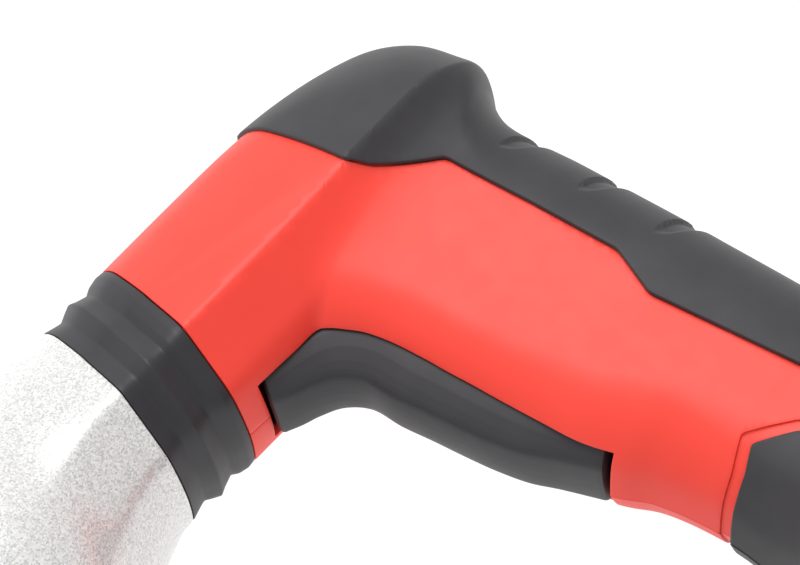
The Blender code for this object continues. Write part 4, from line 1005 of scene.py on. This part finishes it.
def make_casting():
    """The lacquered casting: gear chamber, hydraulic cylinder, rest pads and bosses."""
    ring = front_ring(6)
    outer = [scaled_ring(ring, advance, grow, np.clip(roundness, 0, 1), y, radius)
             for advance, grow, roundness, y, radius in curve_through(CASTING_STATIONS, 6)]
    bore = ((-15.6, GEAR_BORE, 0), (-86, GEAR_BORE, 0), (-98, CYLINDER_BORE, CYLINDER_Y),
            (-192, CYLINDER_BORE, CYLINDER_Y))
    inner = [circle_ring(*place) for place in bore]
    casting = tube("hydraulic_casting", outer, inner)
    bosses = []
    for side in (1, -1):
        high = span("hydraulic_body")[1].z
        profile = [(a * side, r) for a, r in boss_profile(21.0, 33.0, high, 5.0)]
        bosses.append(turned(f"rest_pad_{side}", profile, (-132, CYLINDER_Y, 0), "z", 96))
    for x in HANDLE_FEET_X:
        profile = boss_profile(12.0, 28.5, 36.0, 4.0)
        bosses.append(turned(f"handle_boss_{abs(int(x))}", profile, (x, 0, 0), "y", 72))
    bosses.append(turned("knob_boss", boss_profile(11.5, 27.5, 33.5, 4.0), (KNOB_X, 0, 0), "y", 72))
    carved(casting, *bosses, operation="UNION")
    dressed(casting, "sparkle_silver", "hydraulic_body")


# ---------------------------------------------------------------- jaws

ARM_PIVOT = (-250.0, 33.5)
ARM_HALF_THICK = 12.4
LINK_PIN_RADIUS = 4.0
LINK_BORE = 4.2
LINK_SLOT_HALF = 4.3
ARM_BORE = 8.3


def side_of(name):
    """Which way a mirrored piece lies from the tool axis."""
    return 1 if name.endswith("upper") else -1


def centre_of(node):
    """The middle of a node's box."""
    low, high = span(node)
    return (low + high) / 2


def socket_head(name, low, high, head_low, shank, head, at, key):
    """A cap screw seen from its head: chamfered rim and a hexagon socket."""
    profile = [(low, 0), (low, shank), (head_low, shank), (head_low, head), (high, head), (high, 0)]
    screw = turned(name, soft_profile(profile, 0.5, 3), at)
    depth = min(2.4, (high - head_low) * 0.7)
    return carved(screw, prism(f"{name}_key", regular(key, 6), high - depth, high + 2, at))


def make_yoke():
    """The forged fork that carries the arms."""
    side_edge = 46.0
    lug = side_edge - ARM_PIVOT[1]
    outline = [(-192.3, -38), (-192.3, 38), (-204, 40), (-222, side_edge)]
    outline += arc(ARM_PIVOT, lug, 90, 190, 24) + [(-247, 16), (-247, -16)]
    outline += arc((ARM_PIVOT[0], -ARM_PIVOT[1]), lug, 170, 270, 24) + [(-222, -side_edge), (-204, -40)]
    at = (0, CYLINDER_Y, 0)
    yoke = prism("forged_yoke", outline, -22.0, 22.0, at)
    carved(yoke, rod("yoke_base", 38.0, -206, -192.3, at, "x", 96), operation="UNION")
    cutters = [block("yoke_slot", (-300, -90, -12.8), (-205.5, 90, 12.8)),
               rod("yoke_rod_hole", 12.6, -230, -180, at, "x")]
    for side in (1, -1):
        place = (ARM_PIVOT[0], CYLINDER_Y + side * ARM_PIVOT[1], 0)
        cutters.append(rod("yoke_pin_hole", ARM_BORE, -60, 60, place))
        window = [(-216, -13), (-216, 13), (-233, 9), (-233, -9)]
        cutters.append(prism("yoke_window", window, *sorted((side * 19.5, side * 30)), at))
    carved(yoke, *cutters)
    dressed(rounded(yoke, 1.1), "forged_alloy", "yoke")


def arm_outline(side, inner, lever_end, inset=0.0):
    """The arm in side view, from its boss to its tongue."""
    outline = arc((0, 0), 12.2 - inset, 0, 95, 16) + [(-24, 13.5 - inset), (-60, 4.0 - inset), (-100, -10.0 - inset)]
    outline += [(-112, -13.5 - inset), (-112, inner + inset), (-60, inner + inset), (-30, inner + inset)]
    outline += [(-16, inner + 4 + inset)] + arc(lever_end, 8.3 - inset, 190, 320, 16)
    return [(x, side * y) for x, y in outline]


def make_arms():
    """Two forged arms with bolted, toothed steel tips."""
    for name in ("upper", "lower"):
        side = side_of(name)
        pin = centre_of(f"link_pin_{name}")
        pivot = Vector((ARM_PIVOT[0], CYLINDER_Y + side * ARM_PIVOT[1], 0))
        lever_end = (pin.x - pivot.x, side * (pin.y - pivot.y))
        inner = -ARM_PIVOT[1] + 0.8
        arm = prism(f"forged_arm_{name}", arm_outline(side, inner, lever_end), -ARM_HALF_THICK, ARM_HALF_THICK, pivot)
        slot = sorted((side * -11.0, side * -60.0))
        cutters = [block("lever_slot", (-12.0, slot[0], -LINK_SLOT_HALF), (30, slot[1], LINK_SLOT_HALF), pivot),
                   rod("pin_bore", ARM_BORE, -30, 30, pivot),
                   rod("link_bore", LINK_BORE, -30, 30, (pin.x, pin.y, 0))]
        tongue = [(-150, side * -60), (-90, side * -60), (-90, side * 40), (-150, side * 40)]
        pocket = [(x, side * y) for x, y in ((-24, 6), (-56, -2.5), (-84, -12.5), (-84, inner + 7), (-32, inner + 7))]
        for low, high, depth in ((5.3, 40, 3.0), (-40, -5.3, -3.0)):
            cutters.append(prism("tongue_side", tongue, low, high, pivot))
            face = math.copysign(ARM_HALF_THICK, depth)
            floor, top = sorted((face - depth, face + depth))
            cutters.append(rounded(prism("arm_pocket", pocket, floor, top, pivot), 1.2, 3))
        carved(arm, *cutters)
        dressed(rounded(arm, 1.0), "forged_alloy", f"arm_{name}")
        make_tip(name, side, pivot, inner)


def make_tip(name, side, pivot, inner):
    """A hardened tip: a wedge with teeth on its closing face and grooves across its nose."""
    end = span("tip_upper")[0].x - pivot.x
    outline = [(-90.6, -6.5), (-112, -13.4), (-126, -18.5), (end + 1.5, inner + 7.0), (end, inner + 5.4)]
    outline.append((end, inner + 0.2))
    for k in range(7):
        outline += [(end + k * 4.0 + 2.0, inner + 0.1), (end + k * 4.0 + 2.8, inner + 1.3)]
    outline.append((-90.6, inner))
    half = ARM_HALF_THICK + 1.5
    tip = prism(f"steel_tip_{name}", [(x, side * y) for x, y in outline], -half, half, pivot)
    bolt = centre_of(f"tip_bolt_{name}")
    mouth = [(-113, side * 40), (-60, side * 40), (-60, side * -60), (-113, side * -60)]
    cutters = [prism("tip_mouth", mouth, -5.6, 5.6, pivot), rod("bolt_bore", 3.3, -30, 30, (bolt.x, bolt.y, 0))]
    for k in range(5):
        x = pivot.x - 122 - k * 3.6
        place = pivot.y + side * (-17.2 - k * 1.25)
        groove = [(x - 0.7, place - 3), (x + 0.7, place - 3), (x + 0.7, place + 3), (x - 0.7, place + 3)]
        cutters.append(prism("side_groove", groove, -half - 1, -half + 0.8))
        cutters.append(prism("side_groove", groove, half - 0.8, half + 1))
    carved(tip, *cutters)
    dressed(rounded(tip, 0.45, 2), "dark_steel", f"tip_{name}")
    low, high = span(f"tip_bolt_{name}")
    head_low = ARM_HALF_THICK + 1.8
    screw = socket_head(f"tip_screw_{name}", low.z, high.z, head_low, 3.1, 5.2, (bolt.x, bolt.y, 0), 2.6)
    dressed(screw, "dark_steel", f"tip_bolt_{name}")


def make_linkage():
    """Pins, links and crosshead between the rod and the arms."""
    for name in ("upper", "lower"):
        side = side_of(name)
        pivot = (ARM_PIVOT[0], CYLINDER_Y + side * ARM_PIVOT[1], 0)
        low, high = span(f"arm_pin_{name}")
        head_low = high.z - 3.0
        dressed(socket_head(f"hinge_pin_{name}", low.z, high.z, head_low, 8.0, 11.0, pivot, 4.6),
                "ground_steel", f"arm_pin_{name}")
        ends = []
        for node in (f"link_pin_{name}", f"crosshead_pin_{name}"):
            low, high = span(node)
            place = ((low.x + high.x) / 2, (low.y + high.y) / 2, 0)
            profile = [(low.z, 0), (low.z, LINK_PIN_RADIUS), (high.z, LINK_PIN_RADIUS), (high.z, 0)]
            dressed(turned(f"round_{node}", soft_profile(profile, 0.6, 3), place), "ground_steel", node)
            ends.append(Vector(place))
        turn = math.degrees(math.atan2(ends[0].y - ends[1].y, ends[0].x - ends[1].x))
        away = ends[0] - ends[1]
        outline = arc((0, 0), 6.6, turn + 90, turn + 270, 20) + arc((away.x, away.y), 6.6, turn - 90, turn + 90, 20)
        link = prism(f"forged_link_{name}", outline, -4.0, 4.0, ends[1])
        carved(link, rod("near_eye", LINK_BORE, -20, 20, ends[1]), rod("far_eye", 5.1, -20, 20, ends[0]))
        dressed(rounded(link, 0.5, 2), "dark_steel", f"link_{name}")
    low, high = span("crosshead")
    head = block("forged_crosshead", low, high)
    mouth = block("crosshead_mouth", (low.x - 5, low.y + 1.5, -LINK_SLOT_HALF),
                  (low.x + 15, high.y - 1.5, LINK_SLOT_HALF))
    pins = [centre_of(f"crosshead_pin_{name}") for name in ("upper", "lower")]
    bores = [rod("eye", LINK_BORE, -20, 20, (pin.x, pin.y, 0)) for pin in pins]
    carved(rounded(head, 1.6), mouth, *bores)
    dressed(rounded(head, 0.4, 2, 60), "ground_steel", "crosshead")
    low, high = span("piston_rod")
    profile = [(low.x, 0), (low.x, high.z), (high.x, high.z), (high.x, 0)]
    dressed(turned("chromed_rod", soft_profile(profile, 0.8, 3), (0, CYLINDER_Y, 0), "x", 96),
            "ground_steel", "piston_rod")


# ---------------------------------------------------------------- battery


def rounded_rectangle(low, high, corner, inset=0.0, steps=10):
    """The outline of a pack in plan, x and z, with round corners."""
    half = high[1] - inset
    centres = ((high[0] - inset - corner, half - corner, 0), (low[0] + inset + corner, half - corner, 90),
               (low[0] + inset + corner, -half + corner, 180), (high[0] - inset - corner, -half + corner, 270))
    return [p for x, z, first in centres for p in arc((x, z), corner, first, first + 90, steps)]


def make_battery():
    """The slide-on pack: ribbed shells, rail and a charge window."""
    low, high = span("battery_case_bottom")
    top_low = span("battery_case_top")[0]
    plate_top = -149.5
    corners = ((low.x, low.z), (high.x, high.z))
    top = prism("battery_lid", rounded_rectangle(*corners, 8), top_low.y, plate_top, axis="y")
    top = rounded(top, 1.4, 3, 60)
    rail = rounded(block("battery_rail", (34, plate_top - 3, -22.5), (97.5, -141.0, 22.5)), 0.8, 2)
    carved(top, rail, operation="UNION")
    guides = [block("rail_groove", (30, -147.6, s * 22.5 - 1.6), (90, -145.2, s * 22.5 + 1.6)) for s in (1, -1)]
    windows = [block("latch_window", (8.6, -170.4, min(s * 30, s * 50)), (27.4, -156.6, max(s * 30, s * 50)))
               for s in (1, -1)]
    room = prism("lid_room", rounded_rectangle(*corners, 6, 2.4), top_low.y - 5, plate_top - 2.4, axis="y")
    carved(top, room, *windows, *guides)
    dressed(top, "moulded_black", "battery_case_top")
    tray = rounded(prism("battery_tray", rounded_rectangle(*corners, 8), low.y, high.y, axis="y"), 2.2, 4, 60)
    cutters = [prism("tray_room", rounded_rectangle(*corners, 6, 2.4), low.y + 2.4, high.y + 5, axis="y")]
    for side in (1, -1):
        for k in range(6):
            x = low.x + 22 + k * 13.2
            groove = [(x - 2.2, low.y + 8), (x + 2.2, low.y + 8), (x + 2.2, high.y - 7), (x - 2.2, high.y - 7)]
            cutters.append(rounded(prism("side_rib", groove, *sorted((side * (high.z - 1.0), side * 60))), 0.8, 2))
    carved(tray, *cutters)
    dressed(rounded(tray, 0.35, 2, 50), "moulded_black", "battery_case_bottom")
    for k in range(4):
        profile = [(low.x + 0.6, 0), (low.x + 0.6, 1.6), (low.x + 0.05, 1.6), (low.x + 0.05, 0)]
        place = (0, high.y + 9, (k - 1.5) * 6.0)
        lamp = turned(f"charge_lamp_{k + 1}", soft_profile(profile, 0.3, 2), place, "x", 32)
        dressed(lamp, "board_green", "battery_case_top", stands_for=False)
    for name, side in (("left", 1), ("right", -1)):
        low_l, high_l = span(f"battery_latch_{name}")
        button = rounded(block(f"latch_button_{name}", low_l, high_l), 1.2, 4)
        face = high_l.z if side > 0 else low_l.z
        ribs = []
        for k in range(4):
            x = low_l.x + 3.6 + k * 3.6
            rib = block("thumb_rib", (x - 0.6, low_l.y + 2.5, face - 0.7), (x + 0.6, high_l.y - 2.5, face + 0.7))
            ribs.append(rounded(rib, 0.3, 2))
        dressed(carved(button, *ribs), "moulded_red", f"battery_latch_{name}")


# ---------------------------------------------------------------- fittings


def make_carrying_handle():
    """A bow with a ribbed rubber sleeve and two screwed feet."""
    rear, front = HANDLE_FEET_X
    low, high = span("carrying_handle")
    radius, bend = 8.0, 14.0
    top = high.y - radius
    line = [(rear, low.y + 4), (rear, top - bend - 4), *arc((rear - bend, top - bend), bend, 0, 90, 14)]
    line += [*arc((front + bend, top - bend), bend, 90, 180, 14), (front, top - bend - 4), (front, low.y + 4)]
    path = [(*p, 0) for p in line]
    bow = swept("carrying_bow", path, [7.4] * len(path), 32)
    feet = []
    for x in (rear, front):
        profile = [(low.y, 0), (low.y, 11.0), (low.y + 6.5, 11.0), (low.y + 9.7, 8.0), (low.y + 9.7, 0)]
        feet.append(turned("bow_foot", soft_profile(profile, 1.2, 4), (x, 0, 0), "y", 64))
    carved(bow, *feet, operation="UNION")
    dressed(bow, "moulded_black", "carrying_handle")
    grip = [(x, top, 0) for x in np.arange(front + bend + 3, rear - bend - 3 + 0.01, 0.5)]
    waves = [radius - 0.05 - 0.7 * (abs(math.sin(math.pi * (x - front) / 5.0)) < 0.3) for x, _, _ in grip]
    waves[0] = waves[-1] = 7.5
    dressed(swept("grip_sleeve", grip, waves, 48), "soft_black", "carrying_handle", stands_for=False)


def make_knob():
    """The direction knob: a scalloped rim, a thumb bar and a pointer."""
    low, high = span("direction_knob")
    at = (KNOB_X, 0, 0)
    profile = [(low.y, 0), (low.y, 10.5), (low.y + 2.2, 11.5), (low.y + 7.2, 10.5), (low.y + 8.2, 9.5),
               (low.y + 8.2, 0)]
    knob = turned("thumb_knob", soft_profile(profile, 0.8, 3), at, "y", 96)
    bar = rounded(block("thumb_bar", (-8.5, low.y + 6, -2.2), (8.5, high.y, 2.2), at), 1.0, 3)
    carved(knob, bar, operation="UNION")
    flutes = [rod("flute", 1.5, low.y + 2.5, high.y + 5, (at[0] + 12.2 * math.cos(t), 0, 12.2 * math.sin(t)), "y", 20)
              for t in np.arange(12) * math.pi / 6]
    pointer = block("pointer", (-7.4, high.y - 0.3, -0.5), (-3.4, high.y + 1, 0.5), at)
    dressed(carved(knob, *flutes, pointer), "moulded_black", "direction_knob")


def make_screws():
    """Cap screws that hold the two housings together, their heads sunk in the right one."""
    for k in range(len(SCREW_PLACES)):
        node = f"housing_screw_{k + 1}"
        low, high = span(node)
        middle = (low + high) / 2
        profile = [(high.z, 0), (high.z, 1.5), (low.z + 2.1, 1.5), (low.z + 2.1, 2.7), (low.z, 2.7), (low.z, 0)]
        screw = turned(f"cap_screw_{k + 1}", soft_profile(profile, 0.4, 3), (middle.x, middle.y, 0))
        key = prism("key", regular(1.45, 6), low.z - 1, low.z + 1.2, (middle.x, middle.y, 0))
        dressed(carved(screw, key), "dark_steel", node)


def finish_inner_parts():
    """Give every frame node that still shows the finish of what it is made of."""
    slots = {
        "motor_can": "ground_steel", "motor_rotor": "winding", "motor_bearing": "ground_steel",
        "sun_pinion": "dark_steel", "ring_gear": "dark_steel", "planet_carrier": "ground_steel",
        "pump_plunger": "ground_steel", "oil_bladder": "soft_black", "piston": "ground_steel",
        "piston_seal": "soft_black", "cylinder_gland": "bronze", "trigger_pin": "ground_steel",
        "trigger_spring": "ground_steel", "switch_module": "moulded_black", "switch_plunger": "moulded_red",
        "control_board": "board_green", "terminal_block": "moulded_black",
    }
    slots.update({f"planet_gear_{k}": "dark_steel" for k in (1, 2, 3)})
    slots.update({f"battery_cell_{k}": "cell_wrap" for k in range(1, 6)})
    for node, slot in slots.items():
        item = frame["nodes"][node]
        item.data.materials.clear()
        item.data.materials.append(finish_for(slot))


# ---------------------------------------------------------------- stage

CAMERA_AT = Vector((-0.055334, -0.303774, 0.735720))
CAMERA_RIGHT = Vector((0.664, -0.735, -0.137))
CAMERA_UP = Vector((0.687, 0.528, 0.498))
CAMERA_LENS = 180.0


def make_stage(look):
    """A backlit white sweep, an even studio dome and two soft boxes."""
    floor = shape("floor", [(-2500, -2500, 0), (2500, -2500, 0), (2500, 2500, 0), (-2500, 2500, 0)], [(0, 1, 2, 3)])
    floor.location = (0, 0, -0.0004)
    paper = bpy.data.materials.new("backlit_white_acrylic")
    paper.use_nodes = True
    shader = paper.node_tree.nodes["Principled BSDF"]
    place = add_node(paper.node_tree, "ShaderNodeTexCoord").outputs["Object"]
    tone = mottled(paper.node_tree, place, linear("#565656"), linear("#5C5C5C"), 60.0)
    paper.node_tree.links.new(tone, shader.inputs["Base Color"])
    shader.inputs["Roughness"].default_value = 0.9
    shader.inputs["Emission Color"].default_value = (1, 1, 1, 1)
    shader.inputs["Emission Strength"].default_value = look.floor_glow
    floor.data.materials.append(paper)

    world = bpy.data.worlds.new("studio")
    world.use_nodes = True
    world.node_tree.nodes["Background"].inputs["Color"].default_value = (1, 1, 1, 1)
    world.node_tree.nodes["Background"].inputs["Strength"].default_value = look.dome
    bpy.context.scene.world = world

    middle = (CAD_BOX[0] + CAD_BOX[1]) / 2
    for name, away, size, power in (
        ("key_box", Vector((0.515, 0.744, 1.5)), 1.3, look.key),
        ("fill_box", Vector((-1.2, 0.9, 1.2)), 1.0, look.fill),
    ):
        lamp = bpy.data.lights.new(name, "AREA")
        lamp.shape = "SQUARE"
        lamp.size = size
        lamp.energy = power
        holder = bpy.data.objects.new(name, lamp)
        holder.location = middle + away
        holder.rotation_euler = (-away).to_track_quat("-Z", "Y").to_euler()
        bpy.context.scene.collection.objects.link(holder)

    view = bpy.data.cameras.new("camera")
    view.lens = CAMERA_LENS
    view.sensor_width = 36.0
    view.clip_end = 20.0
    holder = bpy.data.objects.new("camera", view)
    right, up = CAMERA_RIGHT.normalized(), CAMERA_UP.normalized()
    back = right.cross(up).normalized()
    up = back.cross(right).normalized()
    holder.matrix_world = Matrix.Translation(CAMERA_AT) @ Matrix((right, up, back)).transposed().to_4x4()
    bpy.context.scene.collection.objects.link(holder)
    bpy.context.scene.camera = holder
    bpy.context.scene.view_settings.view_transform = "Standard"


# ---------------------------------------------------------------- add-on


class SpreaderSizes(bpy.types.PropertyGroup):
    """Sizes of the spreader's mouldings, in mm."""

    wall: FloatProperty(name="Wall", description="Thickness of the red shells, mm", default=2.1, min=0.5, max=4)
    edge_round: FloatProperty(name="Edge round", description="Rounding of the shells' edges, mm", default=0.2, min=0.05)
    recess_depth: FloatProperty(name="Recess", description="Step down under the cover and pads, mm", default=1.3)
    strip_depth: FloatProperty(name="Strip", description="Step down of the strip round the pads, mm", default=0.55)
    cover_height: FloatProperty(name="Cover height", description="How proud the cover stands, mm", default=1.2)
    notch_depth: FloatProperty(name="Notch depth", description="Depth of the thumb notches, mm", default=0.95)


class SpreaderColours(bpy.types.PropertyGroup):
    """Colours of the finishes, as sRGB hex."""

    red: StringProperty(name="Red", description="Moulded nylon", default="#FF4434")
    red_shade: StringProperty(name="Red shade", description="Moulded nylon, darker flow", default="#FE4232")
    rubber: StringProperty(name="Rubber", description="Soft-touch rubber", default="#363538")
    rubber_shade: StringProperty(name="Rubber shade", description="Soft-touch rubber, darker", default="#302F32")
    nylon: StringProperty(name="Black nylon", description="Moulded black nylon", default="#302F33")
    nylon_shade: StringProperty(name="Black nylon shade", description="Black nylon, darker", default="#2A292D")
    flake: StringProperty(name="Flake", description="Aluminium flake", default="#E2E2E0")
    # The flake's shade and glint tones are painted light: painted shade on flakes turned away and a painted glint on
    # flakes facing the lamps.
    flake_painted_shade: StringProperty(name="Flake painted shade", description="Flake turned away", default="#CACAC7")
    flake_painted_glint: StringProperty(name="Flake painted glint", description="Flake facing", default="#FFFFFF")
    alloy: StringProperty(name="Alloy", description="Blasted aluminium", default="#A4A6A9")
    alloy_shade: StringProperty(name="Alloy shade", description="Blasted aluminium, darker", default="#919396")
    steel: StringProperty(name="Steel", description="Ground steel", default="#CDCFD2")
    steel_shade: StringProperty(name="Steel shade", description="Ground steel, darker", default="#B4B6BA")
    phosphate: StringProperty(name="Phosphate", description="Phosphated steel", default="#4A4B4D")
    phosphate_shade: StringProperty(name="Phosphate shade", description="Phosphated steel, darker", default="#3A3B3D")
    bronze: StringProperty(name="Bronze", description="Bearing bronze", default="#B98A4E")
    bronze_shade: StringProperty(name="Bronze shade", description="Bearing bronze, darker", default="#96683A")
    copper: StringProperty(name="Copper", description="Winding wire", default="#C0703C")
    # The copper shade is painted shade in the grooves between the turns.
    copper_groove_painted_shade: StringProperty(name="Copper painted shade", description="Between the turns", default="#6A3418")
    board: StringProperty(name="Board", description="Solder mask", default="#1E6B3A")
    board_shade: StringProperty(name="Board shade", description="Solder mask over weave", default="#17552E")
    wrap: StringProperty(name="Wrap", description="Cell wrap", default="#2A5FA8")
    wrap_shade: StringProperty(name="Wrap shade", description="Cell wrap, darker", default="#234F8C")


class SpreaderStudio(bpy.types.PropertyGroup):
    """Strength of the studio's lights."""

    dome: FloatProperty(name="Dome", description="Strength of the white surroundings", default=0.62, min=0)
    floor_glow: FloatProperty(name="Floor glow", description="Light given off by the white sweep", default=1.0, min=0)
    key: FloatProperty(name="Key", description="Power of the upper soft box", default=22.0, unit="POWER")
    fill: FloatProperty(name="Fill", description="Power of the side soft box", default=2.0, unit="POWER")


class AddHousings(bpy.types.Operator):
    """Build the two red shells"""

    bl_idname = "spreader.add_housings"
    bl_label = "Housings"

    def execute(self, context):
        make_housings(context.scene.spreader_sizes)
        return {"FINISHED"}


class AddCover(bpy.types.Operator):
    """Build the soft cover over the barrel's end and the grip's back"""

    bl_idname = "spreader.add_cover"
    bl_label = "Rear cover"

    def execute(self, context):
        make_cover(context.scene.spreader_sizes)
        return {"FINISHED"}


class AddPads(bpy.types.Operator):
    """Build the rubber pads on the foot"""

    bl_idname = "spreader.add_pads"
    bl_label = "Foot pads"

    def execute(self, context):
        make_pads(context.scene.spreader_sizes)
        return {"FINISHED"}


class AddTrigger(bpy.types.Operator):
    """Build the paddle trigger"""

    bl_idname = "spreader.add_trigger"
    bl_label = "Trigger"

    def execute(self, context):
        make_trigger()
        return {"FINISHED"}


class AddCollar(bpy.types.Operator):
    """Build the grooved collar"""

    bl_idname = "spreader.add_collar"
    bl_label = "Collar"

    def execute(self, context):
        make_collar()
        return {"FINISHED"}


class AddCasting(bpy.types.Operator):
    """Build the lacquered hydraulic casting"""

    bl_idname = "spreader.add_casting"
    bl_label = "Casting"

    def execute(self, context):
        make_casting()
        return {"FINISHED"}


class AddYoke(bpy.types.Operator):
    """Build the forged fork"""

    bl_idname = "spreader.add_yoke"
    bl_label = "Yoke"

    def execute(self, context):
        make_yoke()
        return {"FINISHED"}


class AddArms(bpy.types.Operator):
    """Build the two arms with their tips and bolts"""

    bl_idname = "spreader.add_arms"
    bl_label = "Arms and tips"

    def execute(self, context):
        make_arms()
        return {"FINISHED"}


class AddLinkage(bpy.types.Operator):
    """Build the rod, crosshead, links and pins"""

    bl_idname = "spreader.add_linkage"
    bl_label = "Linkage"

    def execute(self, context):
        make_linkage()
        return {"FINISHED"}


class AddBattery(bpy.types.Operator):
    """Build the slide-on pack and its latches"""

    bl_idname = "spreader.add_battery"
    bl_label = "Battery"

    def execute(self, context):
        make_battery()
        return {"FINISHED"}


class AddCarryingHandle(bpy.types.Operator):
    """Build the bow and its sleeve"""

    bl_idname = "spreader.add_carrying_handle"
    bl_label = "Carrying handle"

    def execute(self, context):
        make_carrying_handle()
        return {"FINISHED"}


class AddKnob(bpy.types.Operator):
    """Build the direction knob"""

    bl_idname = "spreader.add_knob"
    bl_label = "Direction knob"

    def execute(self, context):
        make_knob()
        return {"FINISHED"}


class AddScrews(bpy.types.Operator):
    """Build the housing screws"""

    bl_idname = "spreader.add_screws"
    bl_label = "Screws"

    def execute(self, context):
        make_screws()
        return {"FINISHED"}


class FinishInnerParts(bpy.types.Operator):
    """Give the frame's own nodes their finishes"""

    bl_idname = "spreader.finish_inner_parts"
    bl_label = "Inner parts"

    def execute(self, context):
        finish_inner_parts()
        return {"FINISHED"}


class AddStage(bpy.types.Operator):
    """Build the white sweep, the lights and the camera"""

    bl_idname = "spreader.add_stage"
    bl_label = "Stage"

    def execute(self, context):
        make_stage(context.scene.spreader_studio)
        return {"FINISHED"}


OPERATORS = (
    AddHousings, AddCover, AddPads, AddTrigger, AddCollar, AddCasting, AddYoke, AddArms, AddLinkage, AddBattery,
    AddCarryingHandle, AddKnob, AddScrews, FinishInnerParts, AddStage,
)


class SpreaderPanel(bpy.types.Panel):
    """The spreader's sizes, colours and operators."""

    bl_idname = "VIEW3D_PT_spreader"
    bl_label = "Rescue spreader"
    bl_space_type = "VIEW_3D"
    bl_region_type = "UI"
    bl_category = "Spreader"

    def draw(self, context):
        for group in ("spreader_sizes", "spreader_colours", "spreader_studio"):
            box = self.layout.box()
            settings = getattr(context.scene, group)
            for name in settings.__annotations__:
                box.prop(settings, name)
        for step in OPERATORS:
            self.layout.operator(step.bl_idname)


GROUPS = {"spreader_sizes": SpreaderSizes, "spreader_colours": SpreaderColours, "spreader_studio": SpreaderStudio}


def register():
    """Register the settings, the operators and the panel."""
    for name, group in GROUPS.items():
        bpy.utils.register_class(group)
        setattr(bpy.types.Scene, name, PointerProperty(type=group))
    for item in (*OPERATORS, SpreaderPanel):
        bpy.utils.register_class(item)


def unregister():
    """Take the panel, the operators and the settings away again."""
    for item in (SpreaderPanel, *reversed(OPERATORS)):
        bpy.utils.unregister_class(item)
    for name, group in GROUPS.items():
        delattr(bpy.types.Scene, name)
        bpy.utils.unregister_class(group)


def main():
    """Build everything in order."""
    register()
    for step in OPERATORS:
        group, name = step.bl_idname.split(".")
        getattr(getattr(bpy.ops, group), name)()


if __name__ == "__main__":
    main()
